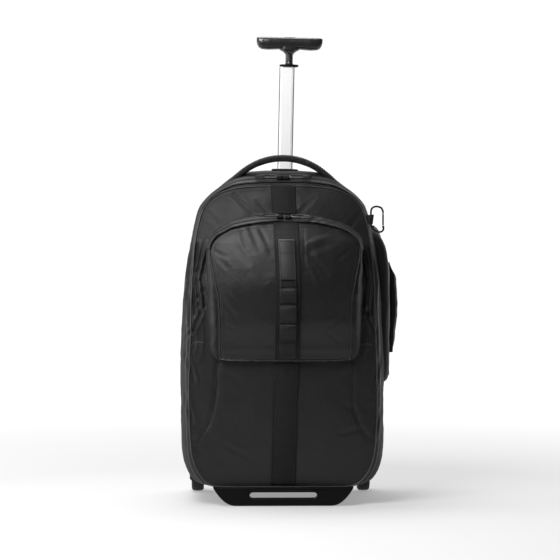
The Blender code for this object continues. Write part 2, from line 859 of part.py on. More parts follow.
def centre_straps():
    seam_z = POCKET_BASE_Z + POCKET_HEIGHT
    face_top = POCKET_BASE_Z + POCKET_HEIGHT * POCKET_OUTLINE[0][1]
    face_low = POCKET_BASE_Z + POCKET_HEIGHT * POCKET_OUTLINE[-1][1]
    top = BODY_BASE_Z + BODY_HEIGHT * BODY_OUTLINE[0][1] - STRAP_END_GAP
    low = BODY_BASE_Z + BODY_HEIGHT * BODY_OUTLINE[-1][1] + STRAP_END_GAP
    lengths = [
        ("webbing_top", top, seam_z + 2.5 * STRAP_END_GAP, 5, panel_place),
        ("webbing_pocket", face_top - STRAP_END_GAP, face_low + STRAP_THICKNESS / 2, 18, pocket_place),
        ("webbing_base", POCKET_BASE_Z - STRAP_END_GAP, low, 16, panel_place),
    ]
    for name, high, end, count, place in lengths:
        ribbon(name, spread(high, end, count), STRAP_WIDTH, STRAP_THICKNESS, place, flat, WEBBING)


def daisy_lift(z):
    """Three loops that stand off the strap, sewn down between them."""
    start = LABEL_TOP_Z - LABEL_HEIGHT
    share = (start - z) / (start - DAISY_END_Z)
    base = STRAP_THICKNESS + CLOTH_CLEARANCE
    first, last, count = 0.16, 0.62, 3
    if share <= first or share >= last:
        return base
    within = (share - first) / (last - first) * count % 1.0
    return base + DAISY_LOOP_LIFT * math.sin(math.pi * within) ** 0.7


def daisy_chain():
    start = LABEL_TOP_Z - LABEL_HEIGHT - CLOTH_CLEARANCE
    heights = spread(start, DAISY_END_Z, 32)
    ribbon(
        "daisy_chain", heights, DAISY_WIDTH, DAISY_THICKNESS, pocket_place, daisy_lift, WEBBING, 2
    )
    label = spread(LABEL_TOP_Z, LABEL_TOP_Z - LABEL_HEIGHT, 6)

    def over_strap(_z):
        return STRAP_THICKNESS + CLOTH_CLEARANCE

    ribbon(
        "label_patch", label, DAISY_WIDTH, LABEL_THICKNESS, pocket_place, over_strap, PATCH, 2
    )


def side_handle():
    """A padded grip that lies along the side pocket, thickest above its middle."""
    count = 14
    rings = []
    for z in spread(SIDE_HANDLE_TOP_Z, SIDE_HANDLE_TOP_Z - SIDE_HANDLE_LENGTH, count):
        share = (SIDE_HANDLE_TOP_Z - z) / SIDE_HANDLE_LENGTH
        padding = SIDE_HANDLE_THICKNESS * table_value(SIDE_HANDLE_PADDING, share)
        outer = []
        inner = []
        for across in (-1, -0.8, -0.3, 0.3, 0.8, 1):
            y = SIDE_POCKET_Y + across * SIDE_HANDLE_WIDTH / 2
            near = side_pocket_x(y, z) + CLOTH_CLEARANCE
            outer.append(Vector((near + padding * (1 - 0.55 * across ** 4), y, z)))
            inner.insert(0, Vector((near, y, z)))
        rings.append(outer + inner)
    loft("side_handle", rings, WEBBING)


def grab_handle(shell_guard):
    """A round arch over the top, whose ends are seated on the bag."""
    radius = (GRAB_HALF_SPAN ** 2 + GRAB_RISE ** 2) / (2 * GRAB_RISE)
    sweep = math.asin(GRAB_HALF_SPAN / radius)
    centre_z = GRAB_BASE_Z + GRAB_RISE - radius
    rings = []
    count = 25
    for index in range(count):
        turn = -sweep + 2 * sweep * index / (count - 1)
        flare = 1 + 0.45 * smooth_step((abs(turn) / sweep - 0.7) / 0.3)
        outward = Vector((math.sin(turn), 0, math.cos(turn)))
        middle = Vector((0, GRAB_Y, centre_z)) + outward * (radius - GRAB_THICKNESS / 2)
        ring = []
        for step in range(8):
            spin = math.tau * (step + 0.5) / 8
            up = outward * math.sin(spin) * GRAB_THICKNESS / 2 * flare * 1.08
            across = Vector((0, math.cos(spin) * GRAB_DEPTH / 2 * 1.08, 0))
            ring.append(middle + up + across)
        rings.append(ring)
    handle = loft("grab_handle", rings, WEBBING)
    boolean(handle, shell_guard, "DIFFERENCE")


# Carabiner


def clip_path():
    """The frame's wire, from the gate's hinge over the top and round to the nose."""
    bend = CLIP_WIDTH / 2
    straight = CLIP_HEIGHT / 2 - bend
    gate_half = CLIP_HEIGHT * GATE_SHARE / 2
    corner_x = CLIP_X + bend
    path = [(corner_x, CLIP_Z + gate_half)]
    for step in range(9):
        turn = math.pi * step / 8
        path.append((CLIP_X + bend * math.cos(turn), CLIP_Z + straight + bend * math.sin(turn)))
    for step in range(9):
        turn = math.pi + math.pi * step / 8
        path.append((CLIP_X + bend * math.cos(turn), CLIP_Z - straight + bend * math.sin(turn)))
    path.append((corner_x, CLIP_Z - gate_half))
    return [Vector((x, CLIP_Y, z)) for x, z in path]


def carabiner(shell_guard):
    wire("carabiner_frame", clip_path(), CLIP_WIRE_RADIUS, CLIP_METAL)
    length = CLIP_HEIGHT * GATE_SHARE - 2 * CLEARANCE
    reach = length / 2
    radius = CLIP_WIRE_RADIUS
    rim = [math.radians(angle) for angle in (0, 30, 60, 90)]
    top = [(radius * math.sin(turn), reach - radius + radius * math.cos(turn)) for turn in rim]
    low = [(radius * math.cos(turn), radius - reach - radius * math.sin(turn)) for turn in rim]
    profile = top + low
    gate = turned("carabiner_gate", profile, 10, CLIP_METAL)
    gate.location = (CLIP_X + CLIP_WIDTH / 2, CLIP_Y, CLIP_Z)
    spine_x = CLIP_X - CLIP_WIDTH / 2
    tab_end = spine_x + CLIP_WIRE_RADIUS + TAB_END_MARGIN
    tab = rounded_box(
        "clip_tab",
        (TAB_LENGTH, TAB_THICKNESS, TAB_WIDTH),
        (tab_end - TAB_LENGTH / 2, CLIP_Y, CLIP_Z),
        WEBBING,
        0.0,
    )
    reach_cut = TAB_WIDTH * 2
    hole = turned(
        "tab_hole",
        [
            (0, reach_cut),
            (CLIP_WIRE_RADIUS + CLEARANCE, reach_cut),
            (CLIP_WIRE_RADIUS + CLEARANCE, -reach_cut),
            (0, -reach_cut),
        ],
        12,
        None,
        CUTTERS,
    )
    hole.location = (spine_x, CLIP_Y, CLIP_Z)
    boolean(tab, hide_cutter(hole), "DIFFERENCE")
    boolean(tab, shell_guard, "DIFFERENCE")


# Zippers


def arch_rows(rows, end_z):
    """The rows of a half outline from its top down to a height."""
    return [row for row in rows if row[1] >= end_z]


def arch_points(rows, end_z, point_at, share, lift):
    """Points along an arch, lifted off the cloth by its own normal."""
    right = arch_rows(rows, end_z)
    left = [(-row[0], row[1], -row[2], row[3]) for row in right[:0:-1]]
    whole = left + right
    points = []
    for index, row in enumerate(whole):
        here = point_at(row, share)
        before = point_at(whole[max(index - 1, 0)], share)
        after = point_at(whole[min(index + 1, len(whole) - 1)], share)
        across = point_at(row, share + 0.05) - point_at(row, share - 0.05)
        normal = across.cross(after - before).normalized()
        if normal.y > 0:
            normal.negate()
        points.append(here + normal * lift)
    return points


def row_at(rows, x):
    """The outline row over the top at a distance from the middle."""
    for inner, outer in zip(rows, rows[1:]):
        if inner[0] <= abs(x) <= outer[0]:
            share = (abs(x) - inner[0]) / (outer[0] - inner[0])
            row = [a + (b - a) * share for a, b in zip(inner, outer)]
            sign = math.copysign(1, x)
            return (row[0] * sign, row[1], row[2] * sign, row[3])
    return rows[0]


def zipper_frame(rows, point_at, share, x):
    """Point, run, across and outward directions of a zipper at a distance from the middle."""
    step = 0.004
    here = point_at(row_at(rows, x), share)
    run = (point_at(row_at(rows, x + step), share) - here).normalized()
    across = point_at(row_at(rows, x), share + 0.05) - here
    outward = across.cross(run).normalized()
    if outward.y > 0:
        outward.negate()
    across = run.cross(outward).normalized()
    return here, run, across, outward


def zipper(name, rows, end_z, point_at, share, drop):
    """A closed coil with two sliders that meet in the middle, each with a loop pull."""
    coil_lift = COIL_RADIUS + CLOTH_CLEARANCE
    path = arch_points(rows, end_z, point_at, share, coil_lift)
    wire(name, path, COIL_RADIUS, ZIPPER, resolution=1)
    for side, sign in SIDES:
        x = sign * (SLIDER_LENGTH / 2 + CLEARANCE * 3)
        here, run, across, outward = zipper_frame(rows, point_at, share, x)
        height = coil_lift + COIL_RADIUS + CLEARANCE + SLIDER_HEIGHT / 2
        turn = Matrix((run, across, outward)).transposed().to_4x4()
        slider = rounded_box(
            f"{name}_slider_{side}",
            (SLIDER_LENGTH, SLIDER_WIDTH, SLIDER_HEIGHT),
            (0, 0, 0),
            MOULDED,
            0.001,
            1,
        )
        slider.matrix_world = Matrix.Translation(here + outward * height) @ turn
        downhill = across if across.z < 0 else -across
        start = SLIDER_LENGTH / 2 + CLEARANCE + PULL_WIRE_RADIUS + 0.0005
        loop = []
        half = PULL_WIDTH / 2
        for index in range(12):
            spin = math.tau * index / 12
            along = half * 0.6 * math.cos(spin)
            along += math.copysign(PULL_LENGTH / 2 - half * 0.6, math.cos(spin + 0.001))
            reach = start + PULL_LENGTH / 2 + along
            sag = drop * (reach / PULL_LENGTH) ** 1.5
            rise = height - SLIDER_HEIGHT * 0.1
            point = here + run * sign * reach + outward * rise
            point += across * (half * math.sin(spin)) + downhill * sag
            loop.append(point)
        wire(f"{name}_pull_{side}", loop, PULL_WIRE_RADIUS, MOULDED, closed=True, resolution=1)


# Foot plate, rear base and wheels


def foot_plate():
    """A flared foot under the front edge, with its long slot."""
    top_z = BODY_BASE_Z - CLEARANCE
    flare = []
    for step in range(9):
        share = step / 8
        x = FOOT_BASE_HALF_WIDTH + (FOOT_HALF_WIDTH - FOOT_BASE_HALF_WIDTH) * share ** 0.55
        flare.append((x, top_z * share ** 1.15))
    half = [(0.0, 0.0)] + flare + [(0.0, top_z)]
    outline = half + [(-x, z) for x, z in reversed(flare)]
    rings = [
        [Vector((x, y, z)) for x, z in outline] for y in (-FOOT_DEPTH / 2, FOOT_DEPTH / 2)
    ]
    plate = loft("foot_plate", rings, MOULDED)
    height = SLOT_HIGH_Z - SLOT_LOW_Z
    slot = []
    for side in (1, -1):
        for step in range(7):
            turn = math.pi / 2 - math.pi * step / 6
            x = side * (SLOT_HALF_WIDTH - height / 2 + height / 2 * math.cos(turn))
            z = SLOT_LOW_Z + height / 2 + side * height / 2 * math.sin(turn)
            slot.append((x, z))
    cutter = loft(
        "foot_slot",
        [[Vector((x, y, z)) for x, z in slot] for y in (-FOOT_DEPTH, FOOT_DEPTH)],
        None,
        collection=CUTTERS,
    )
    boolean(plate, hide_cutter(cutter), "DIFFERENCE")
    bevel(plate, 0.002, 1, 50)


def wheel_well(side):
    """The space of one wheel, open below and behind."""
    radius = WHEEL_RADIUS + WELL_CLEARANCE
    width = WHEEL_WIDTH + 2 * CLEARANCE
    bpy.ops.mesh.primitive_cylinder_add(vertices=28, radius=radius, depth=width)
    well = bpy.context.object
    well.name = "wheel_well"
    well.data.transform(Matrix.Rotation(math.pi / 2, 4, "Y"))
    well.location = (side * WHEEL_X, AXLE_Y, WHEEL_RADIUS)
    for group in list(well.users_collection):
        group.objects.unlink(well)
    CUTTERS.objects.link(well)
    return hide_cutter(well)


def wheel_base():
    """The moulded base behind the step, with a well for each wheel."""
    top_z = STEP_Z - CLEARANCE
    start_y = STEP_Y + CLEARANCE
    side = [(row[2], row[3]) for row in BODY_ROWS if row[3] < top_z and row[2] > BASE_LOW_HALF_WIDTH]
    narrow = 1 + (BACK_NARROWING - 1) * 0.8
    right = [(row_value(BODY_ROWS, top_z, 2) * narrow, top_z)]
    right += [(x * narrow, z) for x, z in side if x * narrow > BASE_LOW_HALF_WIDTH]
    head_top = WHEEL_RADIUS + AXLE_HEAD_RADIUS + HEAD_MARGIN
    right += [(BASE_LOW_HALF_WIDTH, head_top), (BASE_LOW_HALF_WIDTH, BASE_LOW_Z)]
    outline = right + [(-x, z) for x, z in reversed(right)]
    rings = [[Vector((x, y, z)) for x, z in outline] for y in (start_y, BASE_BACK_Y)]
    base = loft("wheel_base", rings, MOULDED)
    bevel(base, BASE_EDGE, 1, 30)
    for direction in (-1, 1):
        boolean(base, wheel_well(direction), "DIFFERENCE")
        bore = turned(
            "axle_bore",
            [
                (0, BORE_REACH),
                (AXLE_RADIUS + CLEARANCE, BORE_REACH),
                (AXLE_RADIUS + CLEARANCE, -AXLE_TAIL),
                (0, -AXLE_TAIL),
            ],
            16,
            None,
            CUTTERS,
        )
        bore.rotation_euler = (0, direction * math.pi / 2, 0)
        bore.location = (direction * WHEEL_X, AXLE_Y, WHEEL_RADIUS)
        boolean(base, hide_cutter(bore), "DIFFERENCE")


def wheels():
    half = WHEEL_WIDTH / 2
    bore = AXLE_RADIUS + RUNNING_CLEARANCE
    profile = [
        (bore, half * 0.8),
        (WHEEL_RADIUS * 0.36, half * 0.5),
        (WHEEL_RADIUS * 0.68, half * 0.5),
        (WHEEL_RADIUS * 0.76, half),
        (WHEEL_RADIUS - TYRE_CROWN, half),
        (WHEEL_RADIUS, half - TYRE_CROWN),
        (WHEEL_RADIUS, TYRE_CROWN - half),
        (WHEEL_RADIUS - TYRE_CROWN, -half),
        (WHEEL_RADIUS * 0.76, -half),
        (WHEEL_RADIUS * 0.68, -half * 0.5),
        (WHEEL_RADIUS * 0.36, -half * 0.5),
        (bore, -half * 0.8),
        (bore, half * 0.8),
    ]
    cheek_out = BASE_LOW_HALF_WIDTH - WHEEL_X
    head = cheek_out + CLEARANCE
    axle_profile = [
        (0, head + AXLE_HEAD_THICKNESS),
        (AXLE_HEAD_RADIUS * 0.8, head + AXLE_HEAD_THICKNESS),
        (AXLE_HEAD_RADIUS, head + AXLE_HEAD_THICKNESS * 0.6),
        (AXLE_HEAD_RADIUS, head),
        (AXLE_RADIUS, head),
        (AXLE_RADIUS, -AXLE_TAIL + CLEARANCE),
        (0, -AXLE_TAIL + CLEARANCE),
    ]
    for side, sign in SIDES:
        place = (sign * WHEEL_X, AXLE_Y, WHEEL_RADIUS)
        wheel = turned(f"wheel_{side}", profile, 28, TYRE)
        axle = turned(f"axle_{side}", axle_profile, 12, STEEL)
        for piece in (wheel, axle):
            piece.location = place
            piece.rotation_euler = (0, sign * math.pi / 2, 0)


# Pull handle


def stadium(width, depth, steps=5):
    """A flat tube's outline: straight sides and round ends, in X and Y."""
    radius = depth / 2
    outline = []
    for side in (1, -1):
        for step in range(steps):
            turn = -math.pi / 2 + math.pi * step / (steps - 1)
            x = side * (width / 2 - radius + radius * math.cos(turn))
            outline.append((x, side * radius * math.sin(turn)))
    return outline


def upright(name, width, depth, low, high, material, collection=None, steps=5):
    outline = stadium(width, depth, steps)
    rings = [[Vector((x, y, z)) for x, y in outline] for z in (low, high)]
    return loft(name, rings, material, collection=collection)


def hang_on(parent, pieces):
    for piece in pieces:
        piece.parent = parent


def grip_ring(x, top, bottom, depth):
    ring = []
    for step in range(12):
        turn = math.tau * step / 12
        y = math.cos(turn)
        z = math.sin(turn)
        y = math.copysign(abs(y) ** 0.75, y) * depth / 2
        z = (top + bottom) / 2 + math.copysign(abs(z) ** 0.75, z) * (top - bottom) / 2
        ring.append(Vector((x, y, z)))
    return ring


def pull_grip(base_z):
    """A T-shaped moulded grip: a crosspiece over a flared neck."""
    cross_low = base_z + NECK_HEIGHT - GRIP_HEIGHT * 0.5
    rings = []
    sections = [(-1, row) for row in GRIP_SECTIONS] + [(1, row) for row in GRIP_SECTIONS[-2::-1]]
    for sign, (reach, top, bottom, depth) in sections:
        x = sign * reach * GRIP_WIDTH / 2
        rings.append(
            grip_ring(
                x, cross_low + GRIP_HEIGHT * top, cross_low + GRIP_HEIGHT * bottom, GRIP_DEPTH * depth
            )
        )
    cross = loft("pull_grip", rings, GLOSSY)
    neck_rings = []
    flare_low = cross_low - NECK_FLARE_HEIGHT
    heights = [base_z] + [flare_low + NECK_FLARE_HEIGHT * share for share in (0, 0.4, 0.65, 0.85, 1)]
    for z in heights + [cross_low + GRIP_HEIGHT * 0.45]:
        flare = 1 + NECK_FLARE * clamp((z - flare_low) / NECK_FLARE_HEIGHT) ** 2.2
        depth = min(NECK_DEPTH * (1 + 0.35 * (flare - 1)), GRIP_DEPTH * 0.89)
        neck_rings.append([Vector((x, y, z)) for x, y in stadium(NECK_WIDTH * flare, depth)])
    neck = loft("grip_neck", neck_rings, None, collection=CUTTERS)
    boolean(cross, hide_cutter(neck), "UNION")
    return cross, neck, cross_low + GRIP_HEIGHT * GRIP_SECTIONS[-1][1]


def pull_handle(shell, shell_top):
    """Everything that leans with the pole hangs on one empty."""
    hinge = bpy.data.objects.new("pull_handle_axis", None)
    PARTS.objects.link(hinge)
    hinge.location = (0, POLE_Y, POLE_PIVOT_Z)
    hinge.rotation_euler = (0, POLE_LEAN, 0)
    bezel_top = shell_top + BEZEL_RISE - POLE_PIVOT_Z
    bezel_low = shell_top - BEZEL_DROP - POLE_PIVOT_Z
    pole_top = POLE_TOP_Z - POLE_PIVOT_Z
    sleeve_width = POLE_WIDTH + 2 * (RUNNING_CLEARANCE + SLEEVE_WALL)
    sleeve_depth = POLE_DEPTH + 2 * (RUNNING_CLEARANCE + SLEEVE_WALL)
    tilt_drop = sleeve_width / 2 * math.sin(POLE_LEAN)
    sleeve_low = STEP_Z + BODY_WALL + SLEEVE_FOOT_GAP + tilt_drop - POLE_PIVOT_Z
    running_width = POLE_WIDTH + 2 * RUNNING_CLEARANCE
    running_depth = POLE_DEPTH + 2 * RUNNING_CLEARANCE

    sleeve = upright(
        "trolley_sleeve", sleeve_width, sleeve_depth, sleeve_low, bezel_low - CLEARANCE, POLE_METAL
    )
    sleeve_bore = upright(
        "sleeve_bore",
        running_width,
        running_depth,
        sleeve_low - CUT_MARGIN,
        bezel_low + CUT_MARGIN,
        None,
        CUTTERS,
    )
    boolean(sleeve, hide_cutter(sleeve_bore), "DIFFERENCE")

    bezel = upright("top_bezel", BEZEL_WIDTH, BEZEL_DEPTH, bezel_low, bezel_top, MOULDED)
    bevel(bezel, BEZEL_EDGE, 2, 50)
    bezel_bore = upright(
        "bezel_bore",
        running_width,
        running_depth,
        bezel_low - CUT_MARGIN,
        bezel_top + CUT_MARGIN,
        None,
        CUTTERS,
    )
    boolean(bezel, hide_cutter(bezel_bore), "DIFFERENCE")
    shell_port = upright(
        "shell_port",
        BEZEL_WIDTH + 2 * CLEARANCE,
        BEZEL_DEPTH + 2 * CLEARANCE,
        bezel_low - CUT_MARGIN,
        bezel_top + CUT_MARGIN,
        None,
        CUTTERS,
    )
    boolean(shell, hide_cutter(shell_port), "DIFFERENCE")

    pole_low = bezel_top - POLE_ENGAGED
    pole = upright("pull_pole", POLE_WIDTH, POLE_DEPTH, pole_low, pole_top, POLE_METAL)
    pole_bore = upright(
        "pole_bore",
        POLE_WIDTH - 2 * POLE_WALL,
        POLE_DEPTH - 2 * POLE_WALL,
        pole_low - CUT_MARGIN,
        pole_top + CUT_MARGIN,
        None,
        CUTTERS,
    )
    boolean(pole, hide_cutter(pole_bore), "DIFFERENCE")
    cap_low = pole_top + CLEARANCE
    cap = rounded_box(
        "pole_cap",
        (CAP_WIDTH, CAP_DEPTH, CAP_HEIGHT),
        (GRIP_SHIFT_X, 0, cap_low + CAP_HEIGHT / 2),
        MOULDED,
        CAP_EDGE,
    )
    grip, neck, grip_top = pull_grip(cap_low + CAP_HEIGHT + CLEARANCE)
    for piece in (grip, neck):
        piece.location.x = GRIP_SHIFT_X
    button = rounded_box(
        "grip_button",
        (BUTTON_LENGTH, BUTTON_WIDTH, BUTTON_HEIGHT),
        (GRIP_SHIFT_X, 0, grip_top + CLEARANCE + BUTTON_HEIGHT / 2),
        MOULDED,
        BUTTON_EDGE,
    )
    hang_on(
        hinge,
        (
            sleeve,
            sleeve_bore,
            bezel,
            bezel_bore,
            shell_port,
            pole,
            pole_bore,
            cap,
            grip,
            neck,
            button,
        ),
    )


def build():
    shell, shell_guard = main_shell()
    back_panel()
    front_pocket(shell_guard)
    side_pocket(shell_guard)
    centre_straps()
    daisy_chain()
    side_handle()
    grab_handle(shell_guard)
    carabiner(shell_guard)
    zipper("top_zipper", BODY_ROWS, TOP_ZIPPER_END_Z, edge_point, TOP_ZIPPER_SHARE, 0.0)
    zipper(
        "pocket_zipper",
        POCKET_ROWS,
        POCKET_ZIPPER_END_Z,
        pocket_edge_point,
        POCKET_ZIPPER_SHARE,
        POCKET_PULL_SAG,
    )
    foot_plate()
    wheel_base()
    wheels()
    pull_handle(shell, BODY_BASE_Z + BODY_HEIGHT + TOP_RISE)


build()
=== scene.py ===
"""Looks of the wheeled backpack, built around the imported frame, in metres.

+Z is up and the front of the bag faces -Y. The soft forms repeat the sizes of the model, so
that each one lies where its solid does.
"""
import math

import bmesh
import bpy
import numpy as np
from mathutils import Matrix, Vector, noise
from mathutils.bvhtree import BVHTree


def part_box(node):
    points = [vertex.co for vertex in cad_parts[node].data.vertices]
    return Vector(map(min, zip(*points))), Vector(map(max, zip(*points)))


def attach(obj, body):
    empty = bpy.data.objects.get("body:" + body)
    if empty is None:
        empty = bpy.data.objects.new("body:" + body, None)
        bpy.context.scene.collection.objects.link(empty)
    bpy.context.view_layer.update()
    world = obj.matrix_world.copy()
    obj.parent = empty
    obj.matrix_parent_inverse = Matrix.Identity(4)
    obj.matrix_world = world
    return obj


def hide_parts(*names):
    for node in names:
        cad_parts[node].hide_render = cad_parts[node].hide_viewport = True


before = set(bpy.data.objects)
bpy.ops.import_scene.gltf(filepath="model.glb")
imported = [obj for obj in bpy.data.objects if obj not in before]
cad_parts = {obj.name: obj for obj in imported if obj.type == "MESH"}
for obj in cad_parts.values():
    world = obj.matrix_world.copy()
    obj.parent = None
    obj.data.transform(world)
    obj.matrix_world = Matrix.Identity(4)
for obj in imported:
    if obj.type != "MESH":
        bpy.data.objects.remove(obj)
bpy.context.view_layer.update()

# Camera: where the photograph was taken from
CAMERA_X = -0.083
CAMERA_Y = -3.65
CAMERA_Z = 0.442
CAMERA_YAW = math.radians(1.2)
CAMERA_LENS = 119.6
SENSOR_WIDTH = 36.0

# Overall form of the bag, as in the model
BODY_HALF_WIDTH = 0.204
BODY_BASE_Z = 0.036
BODY_HEIGHT = 0.625
FRONT_Y = 0.004
FRONT_CROWN = 0.024
TOP_LEAN = 0.028
TOP_RISE = 0.008
WIDEST_Y = 0.095
BACK_Y = 0.246
BACK_NARROWING = 0.975
STEP_Y = 0.214
STEP_Z = 0.106

POCKET_HALF_WIDTH = 0.153
POCKET_BASE_Z = 0.281
POCKET_HEIGHT = 0.289
POCKET_DEPTH = 0.036
POCKET_CROWN = 0.015
POCKET_SHIFT_X = 0.003

SIDE_POCKET_Y = 0.118
SIDE_POCKET_HALF_WIDTH = 0.075
SIDE_POCKET_BASE_Z = 0.236
SIDE_POCKET_HEIGHT = 0.318
SIDE_POCKET_DEPTH = 0.024

STRAP_WIDTH = 0.049
STRAP_THICKNESS = 0.0018
DAISY_WIDTH = 0.032
LABEL_TOP_Z = 0.519
LABEL_HEIGHT = 0.080
DAISY_END_Z = 0.290

# Right half of the bag's outlines, from the top middle down to the bottom middle.
# Columns: front seam x and z, then widest section x and z, as shares of half width and height.
BODY_OUTLINE = [
    (0.000, 0.947, 0.000, 1.000),
    (0.270, 0.945, 0.245, 0.998),
    (0.466, 0.938, 0.451, 0.988),
    (0.598, 0.925, 0.618, 0.950),
    (0.696, 0.905, 0.735, 0.916),
    (0.765, 0.875, 0.819, 0.880),
    (0.814, 0.827, 0.863, 0.826),
    (0.848, 0.766, 0.902, 0.761),
    (0.873, 0.686, 0.941, 0.686),
    (0.885, 0.591, 0.973, 0.591),
    (0.887, 0.495, 0.988, 0.495),
    (0.902, 0.391, 1.000, 0.391),
    (0.907, 0.279, 0.993, 0.279),
    (0.897, 0.167, 0.990, 0.158),
    (0.873, 0.095, 0.975, 0.087),
    (0.814, 0.044, 0.931, 0.036),
    (0.696, 0.006, 0.833, 0.005),
    (0.490, 0.000, 0.564, 0.000),
    (0.245, 0.000, 0.270, 0.000),
    (0.000, 0.000, 0.000, 0.000),
]

POCKET_OUTLINE = [
    (0.000, 0.945, 0.000, 1.000),
    (0.327, 0.936, 0.340, 0.993),
    (0.588, 0.913, 0.627, 0.965),
    (0.797, 0.872, 0.837, 0.917),
    (0.915, 0.820, 0.961, 0.848),
    (0.954, 0.765, 1.000, 0.768),
    (0.935, 0.671, 1.000, 0.654),
    (0.889, 0.557, 0.993, 0.533),
    (0.843, 0.429, 0.987, 0.412),
    (0.830, 0.273, 0.980, 0.256),
    (0.830, 0.118, 0.974, 0.107),
    (0.824, 0.040, 0.928, 0.030),
    (0.752, 0.022, 0.804, 0.006),
    (0.392, 0.018, 0.392, 0.000),
    (0.000, 0.018, 0.000, 0.000),
]

POCKET_SWELL = [
    (0.00, 0.26),
    (0.10, 0.50),
    (0.30, 0.84),
    (0.55, 1.00),
    (0.80, 0.95),
    (0.92, 0.74),
    (1.00, 0.46),
]

SIDE_POCKET_OUTLINE = [
    (0.00, 0.930, 0.00, 1.000),
    (0.42, 0.925, 0.46, 0.990),
    (0.74, 0.870, 0.82, 0.930),
    (0.86, 0.760, 0.97, 0.800),
    (0.88, 0.560, 1.00, 0.560),
    (0.88, 0.340, 1.00, 0.330),
    (0.86, 0.160, 0.97, 0.130),
    (0.72, 0.070, 0.82, 0.025),
    (0.40, 0.045, 0.44, 0.000),
    (0.00, 0.045, 0.00, 0.000),
]

SIDE_POCKET_SWELL = [
    (0.00, 0.20),
    (0.08, 0.42),
    (0.25, 0.56),
    (0.50, 0.74),
    (0.72, 1.00),
    (0.86, 0.92),
    (0.95, 0.60),
    (1.00, 0.25),
]

STRAP_DRIFT = [
    (0.00, 0.00),
    (0.25, 0.05),
    (0.42, 0.15),
    (0.65, 0.16),
    (0.80, 0.10),
    (0.92, 0.00),
    (1.00, 0.00),
]

# Materials, each colour given as its grey and its blue

SHEEN_ROUGHNESS = 0.4
TWILL_PITCH = 0.0016


def add_node(tree, kind, sockets=(), **properties):
    """A node with its properties set, and its sockets set or linked."""
    node = tree.nodes.new("ShaderNode" + kind)
    for key, value in properties.items():
        setattr(node, key, value)
    for socket, value in dict(sockets).items():
        if isinstance(value, bpy.types.NodeSocket):
            tree.links.new(value, node.inputs[socket])
        else:
            node.inputs[socket].default_value = value
    return node


def math_node(tree, operation, *values):
    return add_node(tree, "Math", enumerate(values), operation=operation).outputs[0]


def wave(tree, value, length):
    return math_node(tree, "SINE", math_node(tree, "MULTIPLY", value, math.tau / length))


def weighted(tree, first, share, second, other_share):
    """The sum of two values, each times its share."""
    parts = [math_node(tree, "MULTIPLY", *pair) for pair in ((first, share), (second, other_share))]
    return math_node(tree, "ADD", *parts)


def noise_value(tree, vector, scale, detail=3.0, stretch=None):
    if stretch:
        vector = add_node(tree, "Mapping", {"Vector": vector, "Scale": stretch}).outputs["Vector"]
    return add_node(tree, "TexNoise", {"Vector": vector, "Scale": scale, "Detail": detail}).outputs["Fac"]


def start_material(name, roughness, metallic=0.0, specular=0.5, sheen=0.0):
    material = bpy.data.materials.new(name)
    material.use_nodes = True
    tree = material.node_tree
    shader = tree.nodes["Principled BSDF"]
    shader.inputs["Roughness"].default_value = roughness
    shader.inputs["Metallic"].default_value = metallic
    shader.inputs["Specular IOR Level"].default_value = specular
    shader.inputs["Sheen Weight"].default_value = sheen
    shader.inputs["Sheen Roughness"].default_value = SHEEN_ROUGHNESS
    return material, tree, shader, add_node(tree, "TexCoord").outputs["Object"]


def two_tones(tree, shader, factor, first, second):
    """A base colour that varies between two."""
    sockets = {0: factor, 6: (first[0], *first, 1), 7: (second[0], *second, 1)}
    mix = add_node(tree, "Mix", sockets, data_type="RGBA")
    tree.links.new(mix.outputs[2], shader.inputs["Base Color"])


def uneven_gloss(tree, shader, factor, low, high):
    """A roughness that varies between two values."""
    gloss = add_node(tree, "MapRange", {"Value": factor, "To Min": low, "To Max": high})
    tree.links.new(gloss.outputs["Result"], shader.inputs["Roughness"])


def bump(tree, shader, height, distance, strength, after=None):
    sockets = {"Height": height, "Distance": distance, "Strength": strength}
    if after:
        sockets["Normal"] = after
    normal = add_node(tree, "Bump", sockets).outputs["Normal"]
    tree.links.new(normal, shader.inputs["Normal"])
    return normal


def cloth_material(name, dark, light, roughness, pitch=0.0009, sheen=0.02, depth=0.00006, specular=0.35):
    """Coated woven cloth: two close tones, a fine weave and slightly uneven gloss."""
    material, tree, shader, place = start_material(name, roughness, specular=specular, sheen=sheen)
    x, y, z = add_node(tree, "SeparateXYZ", {0: place}).outputs
    cloud, grain = noise_value(tree, place, 9.0, 4.0), noise_value(tree, place, 900.0, 2.0)
    two_tones(tree, shader, weighted(tree, cloud, 0.65, grain, 0.35), dark, light)
    uneven_gloss(tree, shader, noise_value(tree, place, 26.0), roughness - 0.07, roughness + 0.07)
    warp, weft = wave(tree, math_node(tree, "ADD", x, y), pitch), wave(tree, z, pitch)
    fine = bump(tree, shader, math_node(tree, "MULTIPLY", warp, weft), depth, 0.6)
    bump(tree, shader, noise_value(tree, place, 70.0, 5.0), 0.0012, 0.5, after=fine)
    return material


def webbing_material(name, dark, light, rib, axis=2, roughness=0.62, depth=0.0003):
    """Narrow woven tape: ribs across it, with a fine diagonal twill between them."""
    material, tree, shader, place = start_material(name, roughness, specular=0.22, sheen=0.03)
    parts = add_node(tree, "SeparateXYZ", {0: place}).outputs
    diagonal = math_node(tree, "ADD", parts[0 if axis == 2 else 1], parts[2])
    height = weighted(tree, wave(tree, parts[axis], rib), 0.6, wave(tree, diagonal, TWILL_PITCH), 0.4)
    # The colour follows the rib height: painted shade in the grooves between the ribs, over a random mottle.
    tone = weighted(tree, height, 0.25, noise_value(tree, place, 160.0), 1.0)
    two_tones(tree, shader, tone, dark, light)
    bump(tree, shader, height, depth, 0.8)
    return material


